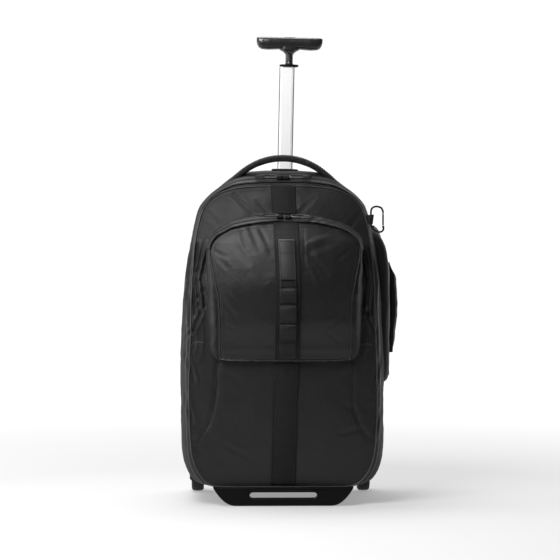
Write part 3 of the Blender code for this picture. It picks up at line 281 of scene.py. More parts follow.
def plastic_material(name, dark, light, roughness, grain=0.00005, *, specular):
    material, tree, shader, place = start_material(name, roughness, specular=specular)
    two_tones(tree, shader, noise_value(tree, place, 22.0, 4.0), dark, light)
    scuffs = noise_value(tree, place, 60.0, 6.0, stretch=(1, 1, 0.3))
    uneven_gloss(tree, shader, scuffs, roughness - 0.06, roughness + 0.08)
    bump(tree, shader, noise_value(tree, place, 1400.0, 2.0), grain, 0.5)
    return material


def steel_material(name, dark, light, roughness):
    material, tree, shader, place = start_material(name, roughness, metallic=1.0)
    lines = noise_value(tree, place, 500.0)
    two_tones(tree, shader, lines, dark, light)
    uneven_gloss(tree, shader, lines, roughness - 0.05, roughness + 0.07)
    bump(tree, shader, lines, 0.00003, 0.3)
    return material


def pole_material(name, tone):
    """Brushed, clear-coated aluminium, bright as the sweep behind it."""
    material, tree, shader, place = start_material(name, 0.34, metallic=0.05, specular=0.4)
    lines = noise_value(tree, place, 260.0, 2.0, stretch=(1, 1, 0.01))
    two_tones(tree, shader, lines, (tone - 0.03, tone - 0.03), (tone, tone))
    uneven_gloss(tree, shader, lines, 0.28, 0.42)
    return material


COATED = cloth_material(
    "coated_cloth_look", (0.0105, 0.0113), (0.0150, 0.0160), 0.37, sheen=0.0, specular=0.26,
)
GUSSET = cloth_material("gusset_look", (0.0055, 0.0060), (0.0105, 0.0110), 0.46, pitch=0.0014, specular=0.24)
# The same cloth again for the sides, darker as well as rougher: painted shade round the bag's rims.
SHADED_SIDE_CLOTH = cloth_material(
    "shaded_side_cloth_look", (0.0085, 0.0092), (0.0135, 0.0144), 0.60, sheen=0.0, specular=0.12,
)
MESH = cloth_material(
    "padded_mesh_look", (0.006, 0.0065), (0.016, 0.0165), 0.85, pitch=0.0042, depth=0.0006, specular=0.2,
)
# Piping lighter and glossier than the cloth: its lighter tone is painted highlight along the piped edges.
HIGHLIGHT_PIPING = cloth_material("highlight_piping_look", (0.022, 0.023), (0.038, 0.039), 0.38, pitch=0.0012, specular=0.5)
# A darker piping for the panel seams and the pocket face's edge: painted shade along those seams.
SHADE_PIPING = cloth_material("painted_shade_piping_look", (0.006, 0.0064), (0.010, 0.0105), 0.42, pitch=0.0012)
THREAD = cloth_material("thread_look", (0.014, 0.0145), (0.028, 0.029), 0.55, pitch=0.0006)
STRAP = webbing_material("webbing_look", (0.0040, 0.0043), (0.0100, 0.0105), 0.0024)
# A lighter, glossier copy of the strap webbing for the daisy loops: painted highlight on the loops.
LIT_LOOP = webbing_material("lit_loop_webbing_look", (0.0060, 0.0064), (0.0170, 0.0176), 0.0024, roughness=0.36)
HANDLE = webbing_material(
    "handle_webbing_look", (0.0045, 0.0048), (0.0190, 0.0196), 0.0050, axis=0, depth=0.0009,
)
GRIP_CLOTH = webbing_material("grip_webbing_look", (0.0040, 0.0043), (0.0110, 0.0115), 0.0050)
RUBBER = plastic_material("patch_look", (0.0150, 0.0155), (0.0230, 0.0236), 0.46, specular=0.3)
COIL = plastic_material("coil_look", (0.003, 0.0035), (0.008, 0.0085), 0.38, specular=0.4)
MOULDED = plastic_material("moulded_look", (0.0022, 0.0025), (0.0042, 0.0046), 0.44, 0.0001, specular=0.11)
GLOSS = plastic_material("glossy_look", (0.010, 0.0105), (0.018, 0.0185), 0.22, 0.000002, specular=0.6)
TYRE = plastic_material("tyre_look", (0.0085, 0.0095), (0.0170, 0.0185), 0.60, 0.0001, specular=0.3)
CLIP = plastic_material("clip_look", (0.006, 0.0065), (0.012, 0.0125), 0.46, 0.00001, specular=0.22)
STEEL = steel_material("steel_look", (0.38, 0.39), (0.55, 0.56), 0.32)
POLE = pole_material("pole_look", 0.93)
# A near-black copy of the pole's finish for its rounded edges: painted shade down the pole's sides.
POLE_SHADE_EDGE = pole_material("pole_painted_shade_edge_look", 0.09)


# Shape helpers


def clamp01(value):
    return np.clip(value, 0.0, 1.0)


def ease(value):
    share = clamp01(value)
    return share * share * (3 - 2 * share)


def bell(value, width):
    """One at zero, fading smoothly within about two widths."""
    return np.exp(-((value / width) ** 2))


def unit(rows):
    """Each row at length one."""
    return rows / np.maximum(np.linalg.norm(rows, axis=1)[:, None], 1e-12)


def upright(axis, count):
    """The same direction for each point of a path."""
    return np.tile(np.array(axis, float), (count, 1))


def distances(path):
    """How far along a path each of its points is."""
    return np.concatenate([[0], np.cumsum(np.linalg.norm(np.diff(path, axis=0), axis=1))])


def sample(at, along, rows):
    """The rows of a table at other distances along it."""
    return np.stack([np.interp(at, along, rows[:, column]) for column in range(rows.shape[1])], axis=-1)


def table_value(rows, at):
    """The second column of a table, eased between its rows."""
    at = np.asarray(at, float)
    result = np.full(at.shape, rows[0][1], float)
    for low, high in zip(rows, rows[1:]):
        share = ease((at - low[0]) / (high[0] - low[0]))
        inside = (at > low[0]) & (at <= high[0])
        result = np.where(inside, low[1] + (high[1] - low[1]) * share, result)
    return np.where(at > rows[-1][0], rows[-1][1], result)


def whole_rows(rows, half_width, base, height):
    """A half outline of shares as a whole closed loop in metres."""
    half = [
        (row[0] * half_width, base + row[1] * height, row[2] * half_width, base + row[3] * height)
        for row in rows
    ]
    return np.array(half + [(-row[0], row[1], -row[2], row[3]) for row in half[-2:0:-1]])


def curve(rows, steps, closed):
    """A smooth curve through rows, with the same number of steps between each two."""
    if closed:
        padded = rows[np.arange(-1, len(rows) + 2) % len(rows)]
    else:
        padded = np.vstack([2 * rows[0] - rows[1], rows, 2 * rows[-1] - rows[-2]])
    fine = []
    for index in range(len(padded) - 3):
        a, b, c, d = padded[index:index + 4]
        for t in np.arange(steps) / steps:
            square = (2 * a - 5 * b + 4 * c - d) * t * t
            fine.append(0.5 * (2 * b + (c - a) * t + square + (3 * b - 3 * c + d - a) * t ** 3))
    return np.array(fine if closed else fine + [rows[-1]])


def even_steps(points, count, closed=False):
    """Resamples points at equal steps; rows of four are measured by their last two columns."""
    path = np.vstack([points, points[:1]]) if closed else points
    along = distances(path[:, 2:4] if path.shape[1] == 4 else path)
    return sample(np.linspace(0, along[-1], count + closed)[:count], along, path)


def smooth_loop(rows, count):
    return even_steps(curve(rows, 24, True), count, True)


def spline(points, count):
    return even_steps(curve(np.array(points, float), 20, False), count)


def smoothed(rows, turns):
    """Averages each inner row with its neighbours, a few times over."""
    for _turn in range(turns):
        rows[1:-1] = (rows[:-2] + rows[1:-1] + rows[2:]) / 3
    return rows


def mesh_from(name, points, faces, material):
    mesh = bpy.data.meshes.new(name)
    mesh.from_pydata([tuple(point) for point in points], [], faces)
    mesh.validate()
    work = bmesh.new()
    work.from_mesh(mesh)
    bmesh.ops.recalc_face_normals(work, faces=work.faces)
    work.to_mesh(mesh)
    work.free()
    mesh.materials.append(material)
    mesh.shade_smooth()
    thing = bpy.data.objects.new(name, mesh)
    bpy.context.scene.collection.objects.link(thing)
    return thing


def ring_faces(ring_count, size):
    """Quads between consecutive closed rings of equally many points."""
    faces = []
    for base in range(0, (ring_count - 1) * size, size):
        for index in range(size):
            after = (index + 1) % size
            faces.append((base + index, base + after, base + size + after, base + size + index))
    return faces


def grid_solid(name, rings, material, capped=True):
    """A body lofted through closed rings, with its ends filled."""
    rings = np.array(rings)
    count, size, _three = rings.shape
    faces = ring_faces(count, size)
    if capped:
        faces.append(tuple(range(size - 1, -1, -1)))
        faces.append(tuple(range((count - 1) * size, count * size)))
    return mesh_from(name, rings.reshape(-1, 3), faces, material)


def crease(thing, angle=40):
    thing.data.set_sharp_from_angle(angle=math.radians(angle))
    return thing


def tube(name, path, radius, material, sides, up=(0, 1, 0), closed=False):
    """A round cord along a path; the radius is one number or one for each point."""
    path = np.asarray(path, float)
    tangent = np.gradient(np.vstack([path[-1:], path, path[:1]]) if closed else path, axis=0)
    tangent = unit(tangent[1:-1] if closed else tangent)
    side = unit(np.cross(tangent, np.array(up, float)))
    normal = np.cross(side, tangent)
    turns = (np.arange(sides) / sides * math.tau)[None, :, None]
    reach = np.broadcast_to(radius, (len(path),))[:, None, None]
    rings = path[:, None] + side[:, None] * np.cos(turns) * reach + normal[:, None] * np.sin(turns) * reach
    if not closed:
        return grid_solid(name, rings, material)
    total = len(path) * sides
    faces = [tuple(corner % total for corner in face) for face in ring_faces(len(path) + 1, sides)]
    return mesh_from(name, rings.reshape(-1, 3), faces, material)


def section_ring(centre, side, normal, width, thickness, corner=0.35, steps=3):
    """A rounded rectangle round a point, in the plane of side and normal."""
    radius = min(width, thickness) * corner
    ring = []
    for sign_w, sign_t, start in ((1, 1, 0), (-1, 1, 1), (-1, -1, 2), (1, -1, 3)):
        for step in range(steps):
            turn = (start + step / (steps - 1)) * math.pi / 2
            across = sign_w * (width / 2 - radius) + radius * math.cos(turn)
            along = sign_t * (thickness / 2 - radius) + radius * math.sin(turn)
            ring.append(centre + side * across + normal * along)
    return ring


def strap_along(name, path, side, normal, width, thickness, material):
    """A flat strap with rounded selvedges; side and normal are given for each point."""
    widths, thicknesses = (np.broadcast_to(value, (len(path),)) for value in (width, thickness))
    rings = [section_ring(*row, 0.45) for row in zip(path, side, normal, widths, thicknesses)]
    return grid_solid(name, rings, material)


def join(name, things):
    """Joins several objects into one, which keeps their materials."""
    bpy.ops.object.select_all(action="DESELECT")
    for thing in things:
        thing.select_set(True)
    bpy.context.view_layer.objects.active = things[0]
    bpy.ops.object.join()
    things[0].name = name
    return things[0]


def settle(piece, body, *nodes):
    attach(piece, body)
    if nodes:
        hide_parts(*nodes)
    return piece


def dress(things, name, *nodes, body="bag"):
    """Joins pieces under one name and puts them on a body."""
    return settle(join(name, things), body, *nodes)


def surface_tree(things):
    """One ray-castable tree over the evaluated meshes of some pieces."""
    points, faces = [], []
    depsgraph = bpy.context.evaluated_depsgraph_get()
    for thing in things:
        mesh = thing.evaluated_get(depsgraph).to_mesh()
        start = len(points)
        points += [thing.matrix_world @ vert.co for vert in mesh.vertices]
        faces += [[start + index for index in face.vertices] for face in mesh.polygons]
    return BVHTree.FromPolygons(points, faces)


def cast(tree, origin, direction):
    point, normal, _index, _distance = tree.ray_cast(Vector(origin), Vector(direction))
    if point is None:
        point, normal, _index, _distance = tree.find_nearest(Vector(origin))
    if normal.dot(Vector(direction)) > 0:
        normal = -normal
    return np.array(point), np.array(normal)


def on_front(tree, x, z):
    return cast(tree, (x, -0.4, z), (0, 1, 0))


def lay_on(tree, points, lift):
    """Drops (x, z) points on a front surface and lifts them along its normals."""
    spots, normals = zip(*(on_front(tree, x, z) for x, z in points))
    return np.array(spots) + np.array(normals) * lift, np.array(normals)


# A stitch's swell along its length: share of the length, then share of the radius.
STITCH_PROFILE = [(0.0, 0.2), (0.25, 1.0), (0.75, 1.0), (1.0, 0.2)]
STITCH_SIDES = 5


def stitch_line(name, path, normals, length=0.0030, gap=0.0012, radius=0.00035):
    """Short raised stitches along a path, joined into one mesh."""
    along = distances(path)
    points, faces = [], []
    for start in np.arange(gap, along[-1] - length, length + gap):
        base = len(points)
        for share, swell in STITCH_PROFILE:
            at = start + share * length
            spot, normal = sample(at, along, path), sample(at, along, normals)
            side = np.cross(normal, sample(at + 0.001, along, path) - spot)
            side /= max(np.linalg.norm(side), 1e-9)
            lift = normal * radius * (0.2 + 0.8 * swell)
            for angle in np.arange(STITCH_SIDES) * math.tau / STITCH_SIDES:
                around = side * math.cos(angle) + normal * math.sin(angle)
                points.append(spot + lift + around * radius * max(swell, 0.5))
        stitch_faces = ring_faces(len(STITCH_PROFILE), STITCH_SIDES)
        last = (len(STITCH_PROFILE) - 1) * STITCH_SIDES
        stitch_faces.append(tuple(range(STITCH_SIDES - 1, -1, -1)))
        stitch_faces.append(tuple(range(last, last + STITCH_SIDES)))
        faces += [tuple(base + index for index in face) for face in stitch_faces]
    return mesh_from(name, points, faces, THREAD)


# Surfaces of the soft forms

BODY_AROUND = 480
BODY_INNER_RINGS = 24
BODY_OUTER_RINGS = 46
BODY_FRONT_RINGS = BODY_INNER_RINGS + BODY_OUTER_RINGS
POCKET_AROUND = 400
POCKET_FACE_RINGS = 56
EDGE_RINGS = 18
SEAM_RINGS = 4
SIDE_RINGS = 33
BACK_RINGS = 7
SIDE_AROUND = 200
SIDE_FACE_RINGS = 22
STEP_GAP = 0.0006
SEAM_SINK = 0.004
PUCKER_REACH = 0.008
PUCKER_STRETCH = (30, 30, 95)

FRONT_HALF_WIDTH = BODY_HALF_WIDTH * max(row[0] for row in BODY_OUTLINE)
BODY_MIDDLE_Z = BODY_BASE_Z + BODY_HEIGHT / 2
POCKET_MIDDLE_Z = POCKET_BASE_Z + POCKET_HEIGHT / 2
SIDE_MIDDLE_Z = SIDE_POCKET_BASE_Z + SIDE_POCKET_HEIGHT / 2


def front_y(x, z):
    rise = clamp01((z - BODY_BASE_Z) / BODY_HEIGHT)
    lean = TOP_LEAN * ease((rise - 0.55) / 0.45)
    across = 1 - clamp01(np.abs(x) / FRONT_HALF_WIDTH) ** 2
    along = 1 - clamp01(np.abs(z - BODY_MIDDLE_Z) / (BODY_HEIGHT / 2)) ** 3
    return FRONT_Y + lean - FRONT_CROWN * across * along


def pocket_y(x, z):
    up = clamp01((z - POCKET_BASE_Z) / POCKET_HEIGHT)
    across = clamp01(np.abs(x - POCKET_SHIFT_X) / POCKET_HALF_WIDTH)
    swell = POCKET_DEPTH * table_value(POCKET_SWELL, up)
    crown = POCKET_CROWN * (1 - across ** 2) * (1 - np.abs(2 * up - 1) ** 2.5)
    return front_y(x, z) - swell - crown


def strap_x(z):
    return STRAP_WIDTH * table_value(STRAP_DRIFT, (np.asarray(z) - BODY_BASE_Z) / BODY_HEIGHT)


def cloud(points, scale, seed, stretch=(1, 1, 1)):
    """Smooth noise from -1 to 1 at each point."""
    shift = Vector((seed * 7.31, seed * 3.17, seed * 5.91))
    scaled = np.asarray(points) * np.array(stretch) * scale
    return np.array([noise.noise(Vector(point) + shift) for point in scaled])


def ridges(points, seed, stretch, sharp):
    """Creased noise from 0 to 1: sharp crests with soft hollows between them."""
    return (1 - np.abs(cloud(points, 1.0, seed, stretch))) ** sharp


def segment_distance(points, start, end):
    """Distance of 2D points to a segment, and the share along it."""
    start, end = np.array(start, float), np.array(end, float)
    run = end - start
    share = clamp01(((points - start) @ run) / (run @ run))
    return np.linalg.norm(points - (start + share[:, None] * run), axis=1), share


def line_distance(points, line):
    """Distance of 2D points to a line of several segments."""
    return np.min([segment_distance(points, a, b)[0] for a, b in zip(line, line[1:])], axis=0)


def vertex_normals(points, faces):
    corners = points[faces]
    normals = np.cross(corners[:, 2] - corners[:, 0], corners[:, 3] - corners[:, 1])
    result = np.zeros_like(points)
    for column in range(4):
        np.add.at(result, faces[:, column], normals)
    return unit(result)


def dome(name, rings, middle, displace, material, outward):
    """A pouch lofted from rings that grow from a middle point, displaced along its normals."""
    rings = np.array(rings)
    count, size, _three = rings.shape
    points = rings.reshape(-1, 3)
    quads = np.array(ring_faces(count, size))
    normals = vertex_normals(points, quads)
    if (normals[: size * 2] @ np.array(outward, float)).sum() < 0:
        normals = -normals
    offset = displace(points)
    points = points + normals * offset[:, None]
    middle = np.array(middle, float) + normals[:size].mean(axis=0) * offset[:size].mean()
    everything = np.vstack([points, middle])
    faces = [tuple(quad) for quad in quads]
    last = len(points)
    faces += [(last, (index + 1) % size, index) for index in range(size)]
    faces.append(tuple(range((count - 1) * size, count * size)))
    return mesh_from(name, everything, faces, material)


# The bag's seams, in x and z on the front, in metres

LEFT_SEAM = [
    (-0.130, 0.283), (-0.133, 0.228), (-0.139, 0.184), (-0.149, 0.158), (-0.165, 0.132), (-0.184, 0.122),
]
RIGHT_SEAM = [(0.134, 0.283), (0.134, 0.224), (0.138, 0.190), (0.147, 0.160), (0.165, 0.132), (0.184, 0.122)]

# Long soft creases of the lower front, radiating from the seams.
# Columns: start x, start z, end x, end z, width, depth in metres.
BODY_CREASES = [
    (-0.097, 0.609, -0.056, 0.570, 0.0050, 0.0012),
    (-0.052, 0.598, -0.028, 0.574, 0.0040, 0.0010),
    (-0.150, 0.575, -0.118, 0.540, 0.0060, 0.0007),
    (0.030, 0.572, 0.054, 0.596, 0.0046, 0.0005),
    (0.150, 0.570, 0.122, 0.536, 0.0060, 0.0006),
    (-0.120, 0.262, -0.060, 0.228, 0.0060, 0.0007),
    (0.118, 0.258, 0.060, 0.216, 0.0060, 0.0007),
    (-0.118, 0.120, -0.066, 0.092, 0.0055, 0.0006),
    (0.116, 0.180, 0.132, 0.196, 0.0042, 0.0009),
    (0.108, 0.140, 0.160, 0.150, 0.0050, 0.0008),
]

# Leaf-shaped wrinkles where the front rolls into the side panels, same columns.
BAND_CREASES = [
    (-0.149, 0.516, -0.166, 0.446, 0.0034, -0.0042),
    (-0.166, 0.446, -0.157, 0.382, 0.0034, -0.0038),
    (-0.168, 0.512, -0.180, 0.444, 0.0030, 0.0026),
    (-0.180, 0.444, -0.173, 0.372, 0.0030, 0.0026),
    (-0.184, 0.506, -0.191, 0.436, 0.0030, -0.0036),
    (-0.191, 0.436, -0.187, 0.352, 0.0030, -0.0034),
    (-0.154, 0.392, -0.180, 0.336, 0.0032, 0.0026),
    (-0.153, 0.426, -0.178, 0.396, 0.0030, 0.0013),
    (-0.156, 0.474, -0.178, 0.452, 0.0030, 0.0013),
    (-0.170, 0.352, -0.192, 0.326, 0.0028, 0.0022),
    (-0.192, 0.300, -0.174, 0.245, 0.0036, 0.0020),
    (-0.192, 0.220, -0.178, 0.160, 0.0038, 0.0018),
    (0.152, 0.512, 0.168, 0.440, 0.0030, -0.0028),
    (0.168, 0.440, 0.160, 0.372, 0.0030, -0.0026),
    (0.170, 0.508, 0.181, 0.436, 0.0030, 0.0030),
    (0.181, 0.436, 0.175, 0.356, 0.0030, 0.0028),
    (0.156, 0.398, 0.180, 0.340, 0.0030, 0.0026),
    (0.192, 0.290, 0.176, 0.225, 0.0038, 0.0018),
    (0.192, 0.190, 0.176, 0.130, 0.0038, 0.0018),
]

# Creases of the pocket's face, most of them pulled from its upper corners to the strap.
POCKET_CREASES = [
    (-0.082, 0.541, -0.073, 0.506, 0.0048, 0.0007),
    (-0.066, 0.546, -0.048, 0.500, 0.0054, 0.0008),
    (-0.046, 0.542, -0.022, 0.496, 0.0050, 0.0008),
    (-0.100, 0.518, -0.070, 0.474, 0.0058, 0.0006),
    (-0.134, 0.497, -0.112, 0.486, 0.0042, 0.0005),
    (-0.127, 0.484, -0.104, 0.460, 0.0048, 0.0005),
    (-0.060, 0.480, -0.036, 0.440, 0.0060, 0.0004),
    (-0.118, 0.430, -0.098, 0.404, 0.0042, 0.0005),
    (-0.116, 0.396, -0.094, 0.372, 0.0042, 0.0006),
    (-0.115, 0.356, -0.088, 0.344, 0.0040, 0.0005),
    (-0.112, 0.320, -0.080, 0.334, 0.0044, 0.0005),
    (0.034, 0.508, 0.094, 0.530, 0.0052, -0.0007),
    (0.040, 0.494, 0.104, 0.516, 0.0058, 0.0006),
    (0.040, 0.488, 0.066, 0.434, 0.0054, -0.0007),
    (0.050, 0.494, 0.084, 0.452, 0.0050, 0.0006),
    (0.128, 0.500, 0.104, 0.482, 0.0040, 0.0006),
    (0.118, 0.440, 0.096, 0.410, 0.0044, 0.0006),
    (0.114, 0.372, 0.090, 0.352, 0.0042, 0.0006),
    (0.110, 0.322, 0.082, 0.340, 0.0044, 0.0005),
    (0.038, 0.552, 0.040, 0.430, 0.0032, 0.0007),
]


def crease_depth(points, table):
    flat = points[:, [0, 2]]
    depth = np.zeros(len(points))
    for x0, z0, x1, z1, width, amount in table:
        away, share = segment_distance(flat, (x0, z0), (x1, z1))
        fade = np.sin(np.pi * (0.15 + 0.7 * share))
        depth += amount * fade * (bell(away, width) - 0.55 * bell(away - width * 1.7, width))
    return depth


def rolled_edge(first, last, depth_axis, steps):
    """Rings that turn a quarter circle from a face's outline to its seam."""
    rings = []
    for turn in math.pi / 2 * np.linspace(0, 1, steps + 1)[1:]:
        share = np.full(3, math.sin(turn))
        share[depth_axis] = 1 - math.cos(turn)
        rings.append(first + (last - first) * share)
    return rings


def second_material(thing, material, first_vertex):
    """Gives the quads past one ring a material of their own."""
    thing.data.materials.append(material)
    for face in thing.data.polygons:
        if len(face.vertices) == 4 and min(face.vertices) >= first_vertex:
            face.material_index = 1
    return thing


def top_rise(height):
    """How far the top rises towards the back, at a height of the outline."""
    return TOP_RISE * ease(((height - BODY_BASE_Z) / BODY_HEIGHT - 0.85) / 0.13)


def body_relief(points):
    """Folds, puckers and seams of the bag, as an offset along its normals."""
    x, y, z = points.T
    front = ease((FRONT_Y + 0.05 - y) / 0.04)
    up = (z - BODY_BASE_Z) / BODY_HEIGHT
    beside_pocket = ease((np.abs(x) - 0.142) / 0.016) * ease((z - 0.27) / 0.05) * ease((0.53 - z) / 0.05)
    sides = np.maximum(ease((np.abs(x) - 0.150) / 0.03) * ease((y - 0.02) / 0.03), beside_pocket)
    offset = 0.0014 * cloud(points, 9.0, 1) + 0.0009 * cloud(points, 24.0, 2)
    offset -= front * crease_depth(points, BODY_CREASES)
    offset -= ease((0.052 - y) / 0.022) * crease_depth(points, BAND_CREASES)
    long_folds = ridges(points, 3, (30, 34, 5.0), 3.0) - 0.45
    offset += 0.0022 * sides * long_folds * ease(up / 0.1) * ease((0.97 - up) / 0.12)
    offset += 0.0011 * sides * (ridges(points, 4, (52, 60, 15), 4.0) - 0.4)
    for line in (LEFT_SEAM, RIGHT_SEAM):
        away = line_distance(points[:, [0, 2]], np.array(line))
        offset -= front * 0.0016 * bell(away, 0.005)
        offset += front * 0.0012 * bell(away, 0.016) * cloud(points, 58.0, 13)
    near_strap = bell(np.abs(x - strap_x(z)) - STRAP_WIDTH / 2 - PUCKER_REACH, PUCKER_REACH) * front
    offset += 0.0006 * near_strap * cloud(points, 1.0, 14, stretch=PUCKER_STRETCH)
    near_rim = bell(y - front_y(x, z), 0.004) * ease((np.abs(x) - 0.150) / 0.02)
    offset += 0.0007 * near_rim * cloud(points, 64.0, 15)
    off_back = 1 - ease((y - (BACK_Y - 0.02)) / 0.02)
    off_step = 1 - ease((0.112 - z) / 0.01) * ease((y - 0.19) / 0.02)
    return offset * off_back * off_step * ease((z - BODY_BASE_Z) / 0.014)


def body_surface():
    rows = smooth_loop(whole_rows(BODY_OUTLINE, BODY_HALF_WIDTH, BODY_BASE_Z, BODY_HEIGHT), BODY_AROUND)
    inner = np.linspace(0.02, 0.69, BODY_INNER_RINGS)
    outer = np.linspace(0.70, 1.0, BODY_OUTER_RINGS)
    rings = []
    for share in np.concatenate([inner, outer]):
        x = rows[:, 0] * share
        z = BODY_MIDDLE_Z + (rows[:, 1] - BODY_MIDDLE_Z) * share
        rings.append(np.stack([x, front_y(x, z), z], axis=1))
    widest = np.column_stack([rows[:, 2], np.full(len(rows), WIDEST_Y), rows[:, 3]])
    rings += rolled_edge(rings[-1], widest, 1, EDGE_RINGS)
    before_step = np.linspace(WIDEST_Y, STEP_Y, SIDE_RINGS + 1)[1:]
    after_step = np.linspace(STEP_Y + STEP_GAP, BACK_Y, BACK_RINGS)
    for y in np.concatenate([before_step, after_step]):
        share = float(ease((y - WIDEST_Y) / (BACK_Y - WIDEST_Y)))
        x = rows[:, 2] * (1 + (BACK_NARROWING - 1) * share)
        z = rows[:, 3] + share * top_rise(rows[:, 3])
        if y > STEP_Y:
            z = np.maximum(z, STEP_Z)
        rings.append(np.column_stack([x, np.full(len(rows), y), z]))
    middle = (0, float(front_y(0.0, BODY_MIDDLE_Z)), BODY_MIDDLE_Z)
    shell = dome("bag_shell", rings, middle, body_relief, COATED, (0, -1, 0))
    # The rings past the front seam take the darker side copy: painted shade round the bag's sides.
    return second_material(shell, SHADED_SIDE_CLOTH, (BODY_FRONT_RINGS + SEAM_RINGS) * BODY_AROUND)


def pocket_relief(points):
    """Folds of the pocket, with pleats in its gusset and a dip along its zipper."""
    x, _y, z = points.T
    ring = np.arange(len(points)) // POCKET_AROUND
    beside_strap = np.clip(np.abs(x - strap_x(z)) - STRAP_WIDTH / 2, 0, None)
    free = ease(beside_strap / 0.02)
    offset = (0.0012 * cloud(points, 14.0, 5) + 0.0007 * cloud(points, 38.0, 6, stretch=(1, 1, 0.6))) * free
    offset -= crease_depth(points, POCKET_CREASES) * free
    offset += 0.0012 * np.exp(-np.abs(ring - POCKET_FACE_RINGS) / 4.0) * cloud(points, 62.0, 11)
    near_strap = bell(beside_strap - PUCKER_REACH, PUCKER_REACH)
    offset += 0.0006 * near_strap * cloud(points, 1.0, 12, stretch=PUCKER_STRETCH)
    offset -= 0.0016 * bell(ring - POCKET_FACE_RINGS - 1, 1.6)
    pleats = ridges(points, 7, (60, 10, 30), 3.0) - 0.45
    return offset + np.where(ring >= POCKET_FACE_RINGS, 0.0016 * pleats, 0.0)


def pocket_surface():
    rows = whole_rows(POCKET_OUTLINE, POCKET_HALF_WIDTH, POCKET_BASE_Z, POCKET_HEIGHT)
    rows = smooth_loop(rows, POCKET_AROUND)
    rings = []
    for share in np.linspace(0.02, 1.0, POCKET_FACE_RINGS):
        x = rows[:, 0] * share + POCKET_SHIFT_X
        z = POCKET_MIDDLE_Z + (rows[:, 1] - POCKET_MIDDLE_Z) * share
        rings.append(np.stack([x, pocket_y(x, z), z], axis=1))
    seam_x, seam_z = rows[:, 2] + POCKET_SHIFT_X, rows[:, 3]
    seam = np.column_stack([seam_x, front_y(seam_x, seam_z) + SEAM_SINK, seam_z])
    rings += rolled_edge(rings[-1], seam, 1, EDGE_RINGS)
    middle = (POCKET_SHIFT_X, float(pocket_y(POCKET_SHIFT_X, POCKET_MIDDLE_Z)), POCKET_MIDDLE_Z)
    pocket = dome("pocket_shell", rings, middle, pocket_relief, COATED, (0, -1, 0))
    return second_material(pocket, GUSSET, (POCKET_FACE_RINGS + 1) * POCKET_AROUND)


def side_relief(points):
    return 0.0010 * cloud(points, 20.0, 8) + 0.0009 * (ridges(points, 9, (10, 40, 14), 3.0) - 0.45)


def side_pocket_surface(body_tree):
    outline = whole_rows(SIDE_POCKET_OUTLINE, SIDE_POCKET_HALF_WIDTH, SIDE_POCKET_BASE_Z, SIDE_POCKET_HEIGHT)
    rows = smooth_loop(outline, SIDE_AROUND)

    def wall_x(y, z):
        return np.array([cast(body_tree, (0.5, a, b), (-1, 0, 0))[0][0] for a, b in zip(y, z)])

    rings = []
    for share in np.linspace(0.03, 1.0, SIDE_FACE_RINGS):
        y = rows[:, 0] * share + SIDE_POCKET_Y
        z = SIDE_MIDDLE_Z + (rows[:, 1] - SIDE_MIDDLE_Z) * share
        height = clamp01((z - SIDE_POCKET_BASE_Z) / SIDE_POCKET_HEIGHT)
        swell = SIDE_POCKET_DEPTH * table_value(SIDE_POCKET_SWELL, height)
        across = clamp01(np.abs(y - SIDE_POCKET_Y) / SIDE_POCKET_HALF_WIDTH)
        rings.append(np.stack([wall_x(y, z) + swell * (1 - 0.3 * across ** 2), y, z], axis=1))
    seam_y, seam_z = rows[:, 2] + SIDE_POCKET_Y, rows[:, 3]
    seam = np.column_stack([wall_x(seam_y, seam_z) - SEAM_SINK, seam_y, seam_z])
    rings += rolled_edge(rings[-1], seam, 0, 8)
    middle = (float(rings[0][:, 0].mean()), SIDE_POCKET_Y, SIDE_MIDDLE_Z)
    return dome("side_pocket_shell", rings, middle, side_relief, GUSSET, (1, 0, 0))


# The back panel's section from its rim to its face: share of the outline, then of the thickness.
BACK_PROFILE = [
    (0.985, 0.0), (1.0, 0.12), (1.002, 0.3), (0.99, 0.55), (0.965, 0.78), (0.93, 0.92), (0.88, 1.0),
]
BACK_PROFILE += [(share, 1.0) for share in np.linspace(0.84, 0.02, 34)]
CHANNEL_X = 0.075
CHANNEL_HEIGHTS = (0.20, 0.34, 0.48, 0.60)


def back_panel_surface():
    """The padded back: two upright channels, short ones beside them, and a rounded rim."""
    low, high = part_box("back_panel")
    rows = smooth_loop(whole_rows(BODY_OUTLINE, BODY_HALF_WIDTH, BODY_BASE_Z, BODY_HEIGHT), 300)
    rim_x = rows[:, 2] * BACK_NARROWING
    rim_z = np.clip(rows[:, 3] + top_rise(rows[:, 3]), STEP_Z, None)
    middle_z = (STEP_Z + high[2]) / 2
    rings = []
    for scale, depth in BACK_PROFILE[::-1]:
        y = np.full(len(rows), low[1] + (high[1] - low[1]) * depth)
        rings.append(np.stack([rim_x * scale, y, middle_z + (rim_z - middle_z) * scale], axis=1))

    def relief(points):
        x, y, z = points.T
        offset = 0.0008 * cloud(points, 16.0, 10)
        for channel in (-CHANNEL_X, CHANNEL_X):
            offset -= 0.0035 * bell(x - channel, 0.007)
        for height in CHANNEL_HEIGHTS:
            offset -= 0.0022 * bell(z - height, 0.006) * ease((np.abs(x) - 0.072) / 0.01)
        return offset * ease((y - (high[1] - 0.004)) / 0.003)

    return dome("back_pad", rings, (0, high[1], middle_z), relief, MESH, (0, 1, 0))


BAG = settle(body_surface(), "bag", "main_shell")
BODY_TREE = surface_tree([BAG])
POCKET = settle(pocket_surface(), "bag", "front_pocket")
FRONT_TREE = surface_tree([BAG, POCKET])
SIDE_POCKET = settle(side_pocket_surface(BODY_TREE), "bag", "side_pocket")
SIDE_TREE = surface_tree([SIDE_POCKET])
settle(back_panel_surface(), "bag", "back_panel")


# Webbing

STRAP_LIFT = 0.0002
STRAP_STEP = 0.0025
EDGE_STEP = 0.004


def outward_of(path):
    """Normals of an upright path on the front, all turned towards the viewer."""
    outward = unit(np.cross(unit(np.gradient(path, axis=0)), upright((1, 0, 0), len(path))))
    return outward * np.where(outward[:, 1:2] > 0, -1, 1)


